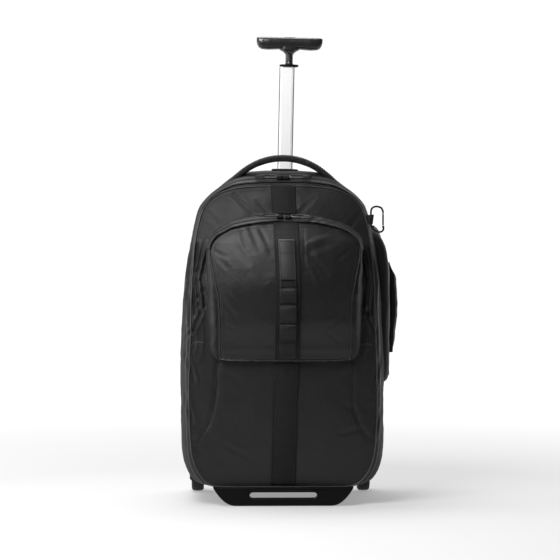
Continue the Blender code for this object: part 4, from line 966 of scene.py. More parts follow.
def front_strap(name, high, low, width, lift, thickness, material, rise=None, step=STRAP_STEP):
    """A strap laid down the front, following what lies under it."""
    heights = np.arange(high, low, -step)
    path = []
    for z in heights:
        x = float(strap_x(z))
        spots = [on_front(FRONT_TREE, x + shift, z)[0] for shift in (-width * 0.35, 0, width * 0.35)]
        path.append((x, min(spot[1] for spot in spots), z))
    path = np.array(path)
    path[2:-2, 1] = np.convolve(path[:, 1], np.ones(5) / 5, "valid")
    outward = outward_of(path)
    path = path + outward * (lift + thickness / 2)
    if rise is not None:
        path = path + outward * rise(heights)[:, None]
        outward = outward_of(path)
    return strap_along(name, path, upright((1, 0, 0), len(path)), outward, width, thickness, material)


def strap_rims(name, strap):
    """A raised selvedge and a row of stitches beside each edge of a broad strap."""
    tree = surface_tree([strap])
    ends = [vert.co.z for vert in strap.data.vertices]
    heights = np.arange(max(ends) - 0.002, min(ends) + 0.002, -EDGE_STEP)
    pieces = []
    for side in (-STRAP_WIDTH, STRAP_WIDTH):
        edge, inner = ([(float(strap_x(z)) + side * share, z) for z in heights] for share in (0.465, 0.40))
        pieces.append(tube(name, lay_on(tree, edge, 0.0001)[0], 0.0006, STRAP, sides=6))
        pieces.append(stitch_line(name, *lay_on(tree, inner, 0.0001), length=0.0034))
    dress(pieces, name)


def broad_straps():
    seam_z = POCKET_BASE_Z + POCKET_HEIGHT
    top_z = BODY_BASE_Z + BODY_HEIGHT * BODY_OUTLINE[0][1] + 0.001
    face_top = POCKET_BASE_Z + POCKET_HEIGHT * POCKET_OUTLINE[0][1]
    face_low = POCKET_BASE_Z + POCKET_HEIGHT * POCKET_OUTLINE[-1][1]
    for label, high, low in (
        ("top", top_z, seam_z + 0.001),
        ("pocket", face_top + 0.001, face_low),
        ("base", POCKET_BASE_Z - 0.0005, BODY_BASE_Z + 0.002),
    ):
        strap = front_strap("strap_" + label, high, low, STRAP_WIDTH, STRAP_LIFT, STRAP_THICKNESS, STRAP)
        settle(strap, "bag", "webbing_" + label)
        strap_rims(f"strap_{label}_edges", strap)


# The bulging loops, as shares down the narrow webbing: start, end and height in metres.
DAISY_LOOPS = [
    (0.09, 0.29, 0.0066),
    (0.30, 0.54, 0.0088),
    (0.55, 0.77, 0.0080),
]
DAISY_START_Z = LABEL_TOP_Z - LABEL_HEIGHT
DAISY_THICKNESS = 0.0018
TACK_SHARES = (0.025, 0.045, 0.065, 0.080, 0.295, 0.545, 0.785, 0.81, 0.93, 0.955, 0.98)


def daisy_rise(z):
    """Each loop springs out under its upper row of stitches and sags towards its lower one."""
    share = (DAISY_START_Z - z) / (DAISY_START_Z - DAISY_END_Z)
    rise = np.zeros_like(share)
    for first, last, height in DAISY_LOOPS:
        within = clamp01((share - first) / (last - first))
        rise += height * np.sin(np.pi * within ** 0.72) ** 0.62
    return rise


def narrow_webbing():
    lift = STRAP_THICKNESS + 0.0006
    # The loops take the lighter webbing copy: painted highlight on them.
    chain = front_strap(
        "daisy_webbing", DAISY_START_Z, DAISY_END_Z, DAISY_WIDTH, lift, DAISY_THICKNESS, LIT_LOOP, daisy_rise,
        0.0008,
    )
    settle(chain, "bag", "daisy_chain")
    lift = STRAP_THICKNESS + 0.0005
    patch = front_strap(
        "bare_patch", LABEL_TOP_Z, DAISY_START_Z + 0.0005, DAISY_WIDTH, lift, DAISY_THICKNESS, RUBBER
    )
    settle(patch, "bag", "label_patch")
    return surface_tree([chain, patch])


def patch_frame():
    """The bare patch's raised rim, and the sewn rows that hold the webbing loops."""

    def across(z, reach, count):
        """A row of points across the narrow webbing."""
        return [(float(strap_x(z)) + x, z) for x in np.linspace(-reach, reach, count) * DAISY_WIDTH]

    pieces = []
    for side in (-1, 1):
        heights = np.linspace(LABEL_TOP_Z - 0.001, DAISY_START_Z + 0.001, 50)
        points = [(float(strap_x(z)) + side * DAISY_WIDTH * 0.43, z) for z in heights]
        pieces.append(tube("patch_rim", lay_on(LABEL_TREE, points, 0.0002)[0], 0.0007, RUBBER, sides=8))
    for z in (LABEL_TOP_Z - 0.0015, LABEL_TOP_Z - 0.0245, DAISY_START_Z + 0.0015):
        path, _normals = lay_on(LABEL_TREE, across(z, 0.43, 20), 0.0002)
        pieces.append(tube("patch_rim", path, 0.0005, RUBBER, sides=8))
    dress(pieces, "patch_border")
    rows = []
    for share in TACK_SHARES:
        z = DAISY_START_Z - share * (DAISY_START_Z - DAISY_END_Z)
        path, normals = lay_on(LABEL_TREE, across(z, 0.46, 16), 0.0002)
        rows.append(stitch_line("loop_stitches", path, normals, length=0.0024, gap=0.0006, radius=0.0004))
    dress(rows, "webbing_bar_tacks")


broad_straps()
LABEL_TREE = narrow_webbing()


# Seams, piping and zippers

REAR_RING = BODY_FRONT_RINGS + EDGE_RINGS + SIDE_RINGS + BACK_RINGS - 1
HEM_HEIGHT = 0.012
HEM_REACH = 0.128
ZIPPER_STEPS = 220


def mesh_ring(thing, around, ring):
    """One ring of a lofted piece, as its points and outward normals."""
    verts = thing.data.vertices[ring * around:(ring + 1) * around]
    return np.array([vert.co for vert in verts]), np.array([vert.normal for vert in verts])


def arch_part(points, normals, end_z):
    """The stretch of a ring over the top, from its left end to its right end."""
    turned = np.roll(np.arange(len(points)), -(len(points) // 2))
    order = [index for index in turned if points[index][2] >= end_z]
    return points[order], normals[order]


def edge_pipings():
    for name, thing, around, ring, lift, radius, material in (
        # Light piping here and below: painted highlight along the edges.
        ("front_piping", BAG, BODY_AROUND, BODY_FRONT_RINGS - 1, 0.0006, 0.0016, HIGHLIGHT_PIPING),
        # Dark piping round the pocket face: painted shade along its edge.
        ("pocket_face_piping", POCKET, POCKET_AROUND, POCKET_FACE_RINGS - 1, 0.0003, 0.0012, SHADE_PIPING),
        ("rear_piping", BAG, BODY_AROUND, REAR_RING, 0.0010, 0.0020, HIGHLIGHT_PIPING),
        ("side_pocket_piping", SIDE_POCKET, SIDE_AROUND, SIDE_FACE_RINGS - 1, 0.0004, 0.0012, HIGHLIGHT_PIPING),
    ):
        points, normals = mesh_ring(thing, around, ring)
        settle(tube(name, points + normals * lift, radius, material, sides=8, closed=True), "bag")


def seam(name, line, material=HIGHLIGHT_PIPING, stitched=True):
    """A sewn seam across the front: a thin ridge with a row of stitches on each side of it."""
    path, normals = lay_on(FRONT_TREE, spline(line, 60), 0.0001)
    pieces = [tube(name, path, 0.0009, material, sides=7)]
    if stitched:
        beside = unit(np.cross(normals, np.gradient(path, axis=0)))
        for side in (-0.0028, 0.0028):
            row = lay_on(FRONT_TREE, (path + beside * side)[:, [0, 2]], 0.0002)
            pieces.append(stitch_line(name + "_stitches", *row))
    dress(pieces, name)


def front_seams():
    # The panel seams and the pocket corner seam use the darker piping: painted shade along them.
    seam("left_panel_seam", LEFT_SEAM, SHADE_PIPING)
    seam("right_panel_seam", RIGHT_SEAM, SHADE_PIPING)
    # The side seams use the light piping: painted highlight along them.
    seam("left_side_seam", [(-0.1545, 0.3190), (-0.166, 0.3205), (-0.176, 0.3190), (-0.183, 0.3080)])
    seam("right_side_seam", [(0.1520, 0.3150), (0.163, 0.3170), (0.1735, 0.3150)])
    seam("pocket_corner_seam", [(0.146, 0.289), (0.158, 0.296), (0.170, 0.306)], SHADE_PIPING, stitched=False)
    points, normals = mesh_ring(POCKET, POCKET_AROUND, POCKET_FACE_RINGS + 1)
    inside = np.abs(points[:, 0] - POCKET_SHIFT_X) < HEM_REACH
    low = np.flatnonzero((points[:, 2] < POCKET_BASE_Z + HEM_HEIGHT) & inside)
    low = low[np.argsort(points[low, 0])]
    hem = even_steps(points[low] + normals[low] * 0.0012, 120)
    # A light piping tube along the pocket's bottom seam: painted highlight along that seam.
    settle(tube("pocket_hem", hem, 0.0012, HIGHLIGHT_PIPING, sides=8), "bag")
    for name, thing, around, ring, sizes in (
        ("pocket_face_stitches", POCKET, POCKET_AROUND, POCKET_FACE_RINGS - 4, (0.0030, 0.0012)),
        ("front_stitches_inner", BAG, BODY_AROUND, BODY_FRONT_RINGS - 5, (0.0034, 0.0014)),
        ("front_stitches_outer", BAG, BODY_AROUND, BODY_FRONT_RINGS + 2, (0.0034, 0.0014)),
    ):
        points, normals = mesh_ring(thing, around, ring)
        settle(stitch_line(name, points + normals * 0.0002, normals, *sizes), "bag")


def zipper_path(thing, around, ring, end_z):
    """A zipper's run over the top of a ring, with its tangent, side and normal."""
    points, normals = arch_part(*mesh_ring(thing, around, ring), end_z)
    path = smoothed(even_steps(points, ZIPPER_STEPS), 6)
    normal = sample(np.linspace(0, 1, ZIPPER_STEPS), np.linspace(0, 1, len(points)), normals)
    normal = unit(smoothed(normal, 6))
    tangent = unit(np.gradient(path, axis=0))
    return path, tangent, unit(np.cross(normal, tangent)), normal


TOOTH_PITCH = 0.0015
TOOTH_HALF_LENGTH = 0.0024
TOOTH_LEAN = 0.25

# Columns: share of the half length, share of the thickness.
TOOTH_PROFILE = [(-1.0, 0.3), (-0.7, 0.9), (0.0, 1.0), (0.7, 0.9), (1.0, 0.3)]


def teeth(name, *run_table):
    """The closed coil: short round ribs that lean left and right by turns."""
    along = distances(run_table[0])
    points, faces = [], []
    for number, at in enumerate(np.arange(TOOTH_PITCH, along[-1] - TOOTH_PITCH, TOOTH_PITCH)):
        place, run, across, up = (sample(at, along, rows) for rows in run_table)
        reach = across + run * (TOOTH_LEAN if number % 2 else -TOOTH_LEAN)
        base = len(points)
        for share, width in TOOTH_PROFILE:
            for angle in np.linspace(0, math.pi, 5):
                ring = run * math.cos(angle) * 0.00058 + up * math.sin(angle) * 0.0011
                points.append(place + reach * share * TOOTH_HALF_LENGTH + ring * width + up * 0.0006)
        for corner in (base + share * 5 + turn for share in range(4) for turn in range(4)):
            faces.append((corner, corner + 1, corner + 6, corner + 5))
    return mesh_from(name, points, faces, COIL)


def frame_matrix(place, run, across, up):
    turn = Matrix([tuple(axis) for axis in (run, across, up)]).transposed()
    return Matrix.Translation(Vector(place)) @ turn.to_4x4()


def bar(name, rows, width, thickness, corner):
    """A small plate lofted along x from rows of place, width share and thickness share."""
    y, z = np.array([0, 1.0, 0]), np.array([0, 0, 1.0])
    rings = [
        section_ring(np.array([x, 0, 0]), y, z, width * wide, thickness * thick, corner, 4)
        for x, wide, thick in rows
    ]
    return grid_solid(name, rings, MOULDED)


SLIDER_HALF_LENGTH = 0.0065

# Columns: share of the half length, share of the width, share of the height.
SLIDER_ROWS = [
    (-1.0, 0.60, 0.5), (-0.92, 0.86, 0.8), (-0.5, 0.92, 1.0), (0.1, 0.98, 1.0),
    (0.6, 1.0, 0.95), (0.92, 0.88, 0.75), (1.0, 0.62, 0.45),
]
BRIDGE_LINE = [
    (-0.0048, 0, 0.0010), (-0.0040, 0, 0.0034), (0, 0, 0.0044), (0.0036, 0, 0.0036), (0.0050, 0, 0.0012),
]


def slider_body(name, frame_at):
    """A slider: a waisted plate with rolled sides, and a bridge over it."""
    rows = [(share * SLIDER_HALF_LENGTH, wide, thick) for share, wide, thick in SLIDER_ROWS]
    plate = bar(name, rows, 0.0088, 0.0036, 0.4)
    path = spline(BRIDGE_LINE, 16)
    side = upright((0, 1, 0), 16)
    outward = unit(np.cross(side, np.gradient(path, axis=0)))
    bridge = strap_along(name + "_bridge", path, side, outward, 0.0030, 0.0011, MOULDED)
    whole = join(name, [plate, bridge])
    whole.data.transform(frame_at)
    return whole


PULL_LENGTH = 0.043
PULL_HALF_WIDTH = 0.0040
PULL_START = 0.0052
PULL_LIFT = 0.0066
TAPE_OFFSET = 0.0058
TAPE_STITCH_OFFSET = 0.0086
TAPE_WIDTH = 0.0086
TAPE_THICKNESS = 0.0012
SLIDER_OFFSET = 0.0074
SLIDER_LIFT = 0.0036
SLIDERS_MEET_X = 0.0008

# Half of the pull's loop: distance from the slider, then share of the half width.
PULL_LOOP = [(0.0030, 0.8), (0.012, 1.0), (0.026, 0.95), (PULL_LENGTH - 0.004, 0.7)]

# The moulded tip, columns: share of its length, share of its width, share of its height.
TIP_ROWS = [(0, 0.5, 0.5), (0.06, 0.85, 0.85), (0.25, 1, 1), (0.75, 0.92, 1), (0.94, 0.7, 0.8), (1, 0.4, 0.4)]


def zip_pull(name, frame_at, drop):
    """A moulded loop that ends in a flat tip, lying along the zipper."""
    one_side = [(x, PULL_HALF_WIDTH * share, 0) for x, share in PULL_LOOP]
    other_side = [(x, -y, 0) for x, y, _z in one_side[::-1]]
    loop = [(0.0, 0, 0)] + one_side + [(PULL_LENGTH, 0, 0)] + other_side + [(0.0, 0, 0)]
    cord = tube(name, spline(loop, 72)[:-1], 0.00125, GLOSS, sides=8, up=(0, 0, 1), closed=True)
    rows = [(PULL_LENGTH * (0.58 + 0.45 * share), wide, thick) for share, wide, thick in TIP_ROWS]
    whole = join(name, [cord, bar(name + "_tip", rows, 0.0080, 0.0030, 0.45)])
    for vert in whole.data.vertices:
        vert.co.y += drop * (max(vert.co.x, 0) / PULL_LENGTH) ** 1.5
    whole.data.transform(frame_at)
    return whole


def zipper(name, thing, around, ring, end_z, sag):
    path, tangent, side, normal = zipper_path(thing, around, ring, end_z)
    pieces = []
    for direction in (-side, side):
        tape = path + direction * TAPE_OFFSET + normal * TAPE_THICKNESS / 2
        pieces.append(strap_along(name + "_tape", tape, side, normal, TAPE_WIDTH, TAPE_THICKNESS, GUSSET))
        row = path + direction * TAPE_STITCH_OFFSET + normal * (TAPE_THICKNESS + 0.0001)
        pieces.append(stitch_line(name + "_stitches", row, normal, length=0.0026, gap=0.0010, radius=0.0003))
    pieces.append(teeth(name + "_teeth", path, tangent, side, normal))
    dress(pieces, name + "_run", name)
    middle = int(np.argmin(np.abs(path[:, 0] - SLIDERS_MEET_X)))
    step = np.linalg.norm(path[middle + 1] - path[middle])
    for label, sign in (("left", -1), ("right", 1)):
        at = middle + int(round(sign * SLIDER_OFFSET / step))
        run, across, up = tangent[at] * sign, side[at] * sign, normal[at]
        start = frame_matrix(path[at] + up * SLIDER_LIFT, run, across, up)
        body = slider_body(f"{name}_slide_{label}", start)
        settle(body, "bag", f"{name}_slider_{label}")
        start = frame_matrix(path[at] + run * PULL_START + up * PULL_LIFT, run, across, up)
        pull = zip_pull(f"{name}_tab_{label}", start, sag if across[2] < 0 else -sag)
        settle(pull, "bag", f"{name}_pull_{label}")


def zip_flap():
    """The rolled lip over the pocket's zipper, on the bag's side of it."""
    points, _normals = arch_part(*mesh_ring(POCKET, POCKET_AROUND, POCKET_FACE_RINGS + 10), 0.50)
    path = smoothed(even_steps(points, 200), 4) + np.array([0, -0.0006, 0.0004])
    radii = 0.0026 * np.sin(np.linspace(0.02, 0.98, 200) * math.pi) ** 0.35
    settle(tube("pocket_flap", path, radii, COATED, sides=12), "bag")


edge_pipings()
front_seams()
zipper("top_zipper", BAG, BODY_AROUND, BODY_FRONT_RINGS + 4, BODY_BASE_Z + BODY_HEIGHT * 0.87, 0.0)
POCKET_ZIPPER_END_Z = POCKET_BASE_Z + POCKET_HEIGHT * 0.7578
zipper("pocket_zipper", POCKET, POCKET_AROUND, POCKET_FACE_RINGS + 5, POCKET_ZIPPER_END_Z, 0.004)
zip_flap()


# Handles of cloth

GRAB_HALF_SPAN = 0.1102
GRAB_RISE = 0.058
GRAB_BASE_Z = 0.632
GRAB_Y = 0.058
GRAB_THICKNESS = 0.011
GRAB_DEPTH = 0.028
GRAB_STEPS = 161
GRAB_PAD_SHARE = 0.42
GRAB_RIB = 0.0052


def grab_handle():
    radius = (GRAB_HALF_SPAN ** 2 + GRAB_RISE ** 2) / (2 * GRAB_RISE)
    sweep = math.asin(GRAB_HALF_SPAN / radius)
    turns = np.linspace(-sweep * 1.04, sweep * 1.04, GRAB_STEPS)
    outward = np.stack([np.sin(turns), np.zeros(GRAB_STEPS), np.cos(turns)], axis=1)
    share = np.abs(turns) / sweep
    padded = ease((GRAB_PAD_SHARE - share) / 0.05)
    ribs = 1 + 0.035 * np.sin(turns * radius / GRAB_RIB * math.tau)
    thick = GRAB_THICKNESS * (1 + 0.40 * ease((share - 0.70) / 0.3)) * ribs * (1 + 0.10 * padded)
    path = np.array([0, GRAB_Y, GRAB_BASE_Z + GRAB_RISE - radius]) + outward * (radius - GRAB_THICKNESS / 2)
    across = upright((0, 1, 0), GRAB_STEPS)
    wide = GRAB_DEPTH * (1 - 0.12 * padded)
    pieces = [strap_along("handle_arch", path, across, outward, wide, thick, HANDLE)]
    inside = slice(16, GRAB_STEPS - 16)
    for side in (-1, 1):
        rows = path + outward * (thick / 2)[:, None] + across * side * GRAB_DEPTH * 0.36
        pieces.append(stitch_line("handle_stitches", rows, outward, length=0.0032))
        front = path - across * GRAB_DEPTH / 2 + outward * side * 0.0028
        pieces.append(stitch_line("handle_face_stitches", front[inside], -across[inside], length=0.0032))
    for edge in (-GRAB_PAD_SHARE - 0.01, GRAB_PAD_SHARE + 0.01):
        at = int(np.argmin(np.abs(turns / sweep - edge)))
        deep = thick[at] + 0.0010
        ring = section_ring(path[at], across[at], outward[at], GRAB_DEPTH + 0.0008, deep, 0.45, 4)
        pieces.append(tube("handle_wrap", ring, 0.0006, THREAD, sides=6, up=(1, 0, 0), closed=True))
    dress(pieces, "grab_strap", "grab_handle")


SIDE_HANDLE_TOP_Z = 0.478
SIDE_HANDLE_LENGTH = 0.182
SIDE_HANDLE_WIDTH = 0.030
SIDE_HANDLE_THICKNESS = 0.016
SIDE_HANDLE_STEPS = 90
SIDE_HANDLE_PADDING = [
    (0.00, 0.14),
    (0.19, 0.84),
    (0.39, 1.00),
    (0.57, 0.94),
    (0.80, 0.66),
    (1.00, 0.38),
]


def side_handle():
    """The padded grip down the side pocket, with bound edges and sewn ends."""
    rings = []
    for share in np.linspace(0, 1, SIDE_HANDLE_STEPS):
        z = SIDE_HANDLE_TOP_Z - share * SIDE_HANDLE_LENGTH
        padding = SIDE_HANDLE_THICKNESS * float(table_value(SIDE_HANDLE_PADDING, share))
        padding *= 1 + 0.012 * math.sin(share * 46) * math.sin(math.pi * share)
        outer, inner = [], []
        for across in np.linspace(-1, 1, 15):
            y = SIDE_POCKET_Y + across * SIDE_HANDLE_WIDTH / 2
            base = cast(SIDE_TREE, (0.4, y, z), (-1, 0, 0))[0][0]
            swell = padding * (1 - 0.55 * across ** 4) * (1 - 0.10 * bell(abs(across) - 0.72, 0.06))
            outer.append((base + 0.0004 + swell, y, z))
            inner.insert(0, (base - 0.0006, y, z))
        rings.append(outer + inner)
    rings = np.array(rings)
    pieces = [grid_solid("grip_pad", rings, GRIP_CLOTH)]
    # Bindings in the light piping: painted highlight along the grip's edges.
    for column in (1, 13):
        edge = rings[:, column] + np.array([0.0003, 0, 0])
        pieces.append(tube("grip_binding", edge, 0.0014, HIGHLIGHT_PIPING, sides=8, up=(1, 0, 0)))
    for shift in (-0.0095, 0.0095):
        row = rings[:, 7] + np.array([-0.0005, shift, 0])
        pieces.append(stitch_line("grip_stitches", row, upright((1, 0, 0), SIDE_HANDLE_STEPS), length=0.0032))
    dress(pieces, "side_grip", "side_handle")


grab_handle()
side_handle()


# Carabiner and its tab

CLIP_X = 0.1860
CLIP_Y = 0.028
CLIP_Z = 0.562
CLIP_HALF_WIDTH = 0.012
CLIP_RIGHT = CLIP_X + CLIP_HALF_WIDTH
CLIP_LEFT = CLIP_X - CLIP_HALF_WIDTH
WIRE_RADIUS = 0.0019

# The bent wire from above the gate round to below it, in x and z.
WIRE_LINE = [
    (CLIP_RIGHT, 0.5744), (CLIP_RIGHT - 0.0004, 0.5790), (CLIP_RIGHT - 0.0040, 0.5850),
    (CLIP_X - 0.0005, 0.5875), (CLIP_LEFT + 0.0045, 0.5858), (CLIP_LEFT + 0.0010, 0.5815),
    (CLIP_LEFT, 0.5750), (CLIP_LEFT, 0.5650), (CLIP_LEFT, 0.5560), (CLIP_LEFT + 0.0010, 0.5490),
    (CLIP_LEFT + 0.0042, 0.5440), (CLIP_X - 0.0035, 0.5402), (CLIP_X + 0.0030, 0.5372),
    (CLIP_X + 0.0092, 0.5380), (CLIP_RIGHT + 0.0008, 0.5422), (CLIP_RIGHT + 0.0004, 0.5470),
    (CLIP_RIGHT, 0.5496),
]
LUG_LINE = [(CLIP_LEFT + 0.0042, 0.5458), (CLIP_LEFT + 0.0052, 0.5480), (CLIP_LEFT + 0.0056, 0.5500)]
LUG_RADII = [0.0012, 0.0012, 0.0012, 0.0012, 0.0013, 0.0016, 0.0019, 0.0021, 0.0021, 0.0018, 0.0012, 0.0004]
GATE_LINE = [(CLIP_RIGHT, 0.5738), (CLIP_RIGHT, 0.5660), (CLIP_RIGHT, 0.5580), (CLIP_RIGHT, 0.5503)]

# The folded tab from the side seam round the clip's spine, in x and y from the spine.
TAB_LINE = [
    (-0.0125, 0.0016), (-0.0080, 0.0024), (-0.0030, 0.0036), (0.0012, 0.0036), (0.0042, 0.0),
    (0.0012, -0.0036), (-0.0030, -0.0034), (-0.0080, -0.0010), (-0.0125, 0.0002),
]


def clip_wire(name, line, count, radii, sides=16):
    return tube(name, spline([(x, CLIP_Y, z) for x, z in line], count), radii, CLIP, sides)


def carabiner():
    radii = np.full(150, WIRE_RADIUS)
    radii[-8:] = np.linspace(WIRE_RADIUS, WIRE_RADIUS * 1.35, 8)
    wire = clip_wire("clip_wire", WIRE_LINE, 150, radii)
    lug = clip_wire("clip_lug", LUG_LINE, 12, LUG_RADII, 12)
    dress([wire, lug], "clip_frame", "carabiner_frame")
    shares = np.linspace(0, 1, 40)
    radii = WIRE_RADIUS * (0.92 - 0.10 * bell(shares - 0.12, 0.03) - 0.3 * ease((shares - 0.95) / 0.05))
    settle(clip_wire("clip_gate_arm", GATE_LINE, 40, radii), "clip_gate", "carabiner_gate")


def clip_tab():
    """A folded strap end, with four short rows of stitches."""
    loop = spline([(CLIP_LEFT + x, CLIP_Y + y, CLIP_Z) for x, y in TAB_LINE], 60)
    across = upright((0.12, 0, 0.99), 60)
    normal = unit(np.cross(across, unit(np.gradient(loop, axis=0))))
    widths = 0.0195 - 0.0020 * np.abs(np.linspace(-1, 1, 60))
    pieces = [strap_along("tab_loop", loop, across, normal, widths, 0.0016, STRAP)]
    share = np.linspace(0, 1, 6)
    for shift in (-0.006, -0.002, 0.002, 0.006):
        x, y = CLIP_LEFT - 0.0066 + 0.0036 * share, CLIP_Y - 0.0036 + 0.0012 * (1 - share)
        row = np.column_stack([x, y, np.full(6, CLIP_Z + shift)])
        pieces.append(stitch_line("tab_stitches", row, upright((0, -1, 0), 6), length=0.0022, gap=0.0006))
    dress(pieces, "tab_strap", "clip_tab")


carabiner()
clip_tab()


# Pull handle

BAG_TOP_Z = 0.673
POLE_Y = 0.2285
POLE_PIVOT_Z = 0.28
POLE_LEAN = math.radians(1.23)
POLE_WIDTH = 0.0314
POLE_DEPTH = 0.0119
POLE_TOP_Z = 0.886
POLE_HIDDEN = 0.120
# Width of the painted shade strip on each rounded edge of the pole.
POLE_SHADE_STRIP = 0.0022
GROOVE_INSET = 0.0018
ROUND_END_STEPS = 24
GRIP_SHIFT_X = 0.004
GRIP_WIDTH = 0.1375
GRIP_HEIGHT = 0.0265
GRIP_DEPTH = 0.029
SEAT_HALF_DEPTH = 0.0072
NECK_HEIGHT = 0.0435
FLARE_HEIGHT = 0.012
JOINT_GAP = 0.0003
CAP_HEIGHT = 0.0045
CAP_LOW = POLE_TOP_Z - POLE_PIVOT_Z + JOINT_GAP
NECK_LOW = CAP_LOW + CAP_HEIGHT + JOINT_GAP
CROSS_LOW = NECK_LOW + NECK_HEIGHT - GRIP_HEIGHT / 2
LEAN_FRAME = Matrix.Translation((0, POLE_Y, POLE_PIVOT_Z)) @ Matrix.Rotation(POLE_LEAN, 4, "Y")

# Sections of the T grip along its half length, with a shallow seat for its button in the middle.
# Columns: share of half width, then top, bottom and depth as shares of the grip's height and depth.
GRIP_SECTIONS = np.array([
    (0.00, 0.93, 0.08, 0.96),
    (0.23, 0.93, 0.06, 0.97),
    (0.32, 1.00, 0.05, 0.98),
    (0.64, 1.00, 0.00, 1.00),
    (0.84, 1.00, 0.04, 0.94),
    (0.93, 0.99, 0.17, 0.84),
    (0.98, 0.96, 0.37, 0.68),
    (1.00, 0.91, 0.60, 0.46),
])

# Sections of upright parts, columns: height from the part's own base, width and depth.
CAP_ROWS = [
    (0.0, 0.0345, 0.0160), (0.0004, 0.0360, 0.0170), (0.0014, 0.0395, 0.0215),
    (0.0020, 0.0400, 0.0220), (0.0038, 0.0400, 0.0220), (CAP_HEIGHT, 0.0388, 0.0208),
]
BUTTON_ROWS = [
    (0.0, 0.0260, 0.0120), (0.0014, 0.0260, 0.0120), (0.0019, 0.0252, 0.0112), (0.0021, 0.0220, 0.0080),
]
BEZEL_ROWS = [
    (-0.020, 0.050, 0.029), (-0.004, 0.0515, 0.0305), (-0.0035, 0.0560, 0.0350), (-0.0012, 0.0560, 0.0350),
    (0.0, 0.0535, 0.0325), (0.0, 0.0345, 0.0150), (-0.0010, 0.0333, 0.0138), (-0.020, 0.0333, 0.0138),
]


def leaned(thing, shift=0.0):
    thing.data.transform(LEAN_FRAME @ Matrix.Translation((shift, 0, 0)))
    return thing


def stadium(width, depth):
    radius = depth / 2
    outline = []
    for side in (1, -1):
        for turn in np.linspace(-math.pi / 2, math.pi / 2, ROUND_END_STEPS):
            x = side * (width / 2 - radius + radius * math.cos(turn))
            outline.append((x, side * radius * math.sin(turn)))
    return np.array(outline)


def level_ring(outline, height):
    return np.column_stack([outline, np.full(len(outline), height)])


def upright_rings(base, rows):
    """Round-ended rings from rows of height, width and depth."""
    return [level_ring(stadium(width, depth), base + height) for height, width, depth in rows]


def pole():
    """A flattened tube with a fine groove beside each rounded edge, front and back."""
    half, depth = POLE_WIDTH / 2, POLE_DEPTH / 2
    groove = half - depth + GROOVE_INSET
    profile = [(x, -depth) for x in np.linspace(0, groove - 0.0008, 10)]
    profile += [(groove + x, y - depth) for x, y in ((-0.0004, 0.0004), (0, 0.0009), (0.0004, 0.0006))]
    for turn in np.linspace(-math.pi / 2 + 0.40, 0, 12):
        profile.append((half - depth + depth * math.cos(turn), depth * math.sin(turn)))
    quarter = np.array(profile)
    right = np.vstack([quarter, quarter[-2::-1] * (1, -1)])
    whole = np.vstack([right, right[-2:0:-1] * (-1, 1)])
    low, high = BAG_TOP_Z - POLE_HIDDEN - POLE_PIVOT_Z, POLE_TOP_Z - POLE_PIVOT_Z
    piece = grid_solid("pole_tube", [level_ring(whole, z) for z in np.linspace(low, high, 60)], POLE)
    # The outer strip of each rounded edge takes the near-black copy: painted shade down both sides of the
    # pole.
    piece.data.materials.append(POLE_SHADE_EDGE)
    for face in piece.data.polygons:
        face.material_index = int(abs(face.center.x) > half - POLE_SHADE_STRIP)
    settle(crease(leaned(piece), 50), "pull", "pull_pole")


def grip_section(reach):
    """Top, bottom and depth of the T grip at a share of its half width."""
    return [np.interp(reach, GRIP_SECTIONS[:, 0], GRIP_SECTIONS[:, column]) for column in (1, 2, 3)]


def signed_power(value, power):
    return math.copysign(abs(value) ** power, value)


def grip_cross():
    rings = []
    for reach in np.sin(np.linspace(-1, 1, 67) * math.pi / 2):
        top, bottom, depth = grip_section(abs(reach))
        ring = []
        for turn in np.arange(40) / 40 * math.tau:
            y = signed_power(math.cos(turn), 0.72) * depth * GRIP_DEPTH / 2
            up = signed_power(math.sin(turn), 0.55 if turn < math.pi else 0.85)
            crest = 1.0 if abs(reach) < 0.5 and abs(y) > SEAT_HALF_DEPTH else top
            z = CROSS_LOW + GRIP_HEIGHT * ((crest + bottom) / 2 + up * (crest - bottom) / 2)
            ring.append((reach * GRIP_WIDTH / 2, y, z))
        rings.append(ring)
    return grid_solid("grip_cross", rings, GLOSS)


def grip_neck():
    """The neck, with a small foot on the cap and a flare into the T."""
    rows = []
    for z in np.linspace(NECK_LOW, CROSS_LOW + GRIP_HEIGHT * 0.45, 40):
        flare = 1 + 1.6 * float(clamp01((z - CROSS_LOW + FLARE_HEIGHT) / FLARE_HEIGHT)) ** 2.2
        foot = 1 + 0.22 * math.exp(-(z - NECK_LOW) / 0.0016)
        rows.append((z, 0.0155 * flare * foot, min(0.0165 * (1 + 0.35 * (flare - 1)) * foot, 0.0258)))
    return grid_solid("grip_stem", upright_rings(0.0, rows), GLOSS)


def grip():
    line = []
    for reach in np.linspace(-0.95, 0.95, 90):
        top, bottom, depth = grip_section(abs(reach))
        z = CROSS_LOW + GRIP_HEIGHT * (top + bottom) / 2
        line.append((reach * GRIP_WIDTH / 2, -depth * GRIP_DEPTH / 2, z))
    parting = tube("grip_parting", line, 0.00025, MOULDED, sides=6)
    whole = join("handle_grip", [grip_cross(), grip_neck(), parting])
    settle(leaned(whole, GRIP_SHIFT_X), "pull", "pull_grip")
    cap = grid_solid("pole_collar", upright_rings(CAP_LOW, CAP_ROWS), MOULDED)
    settle(crease(leaned(cap, GRIP_SHIFT_X)), "pull", "pole_cap")
    button_low = CROSS_LOW + GRIP_HEIGHT * GRIP_SECTIONS[0, 1] + 0.0002
    button = grid_solid("release_button", upright_rings(button_low, BUTTON_ROWS), MOULDED)
    settle(crease(leaned(button, GRIP_SHIFT_X)), "pull", "grip_button")


def bezel():
    rings = upright_rings(BAG_TOP_Z - POLE_PIVOT_Z, BEZEL_ROWS)
    collar = grid_solid("pole_bezel", rings + [rings[0]], MOULDED, capped=False)
    settle(crease(leaned(collar)), "bag", "top_bezel")


pole()
grip()
bezel()


# Foot and wheels

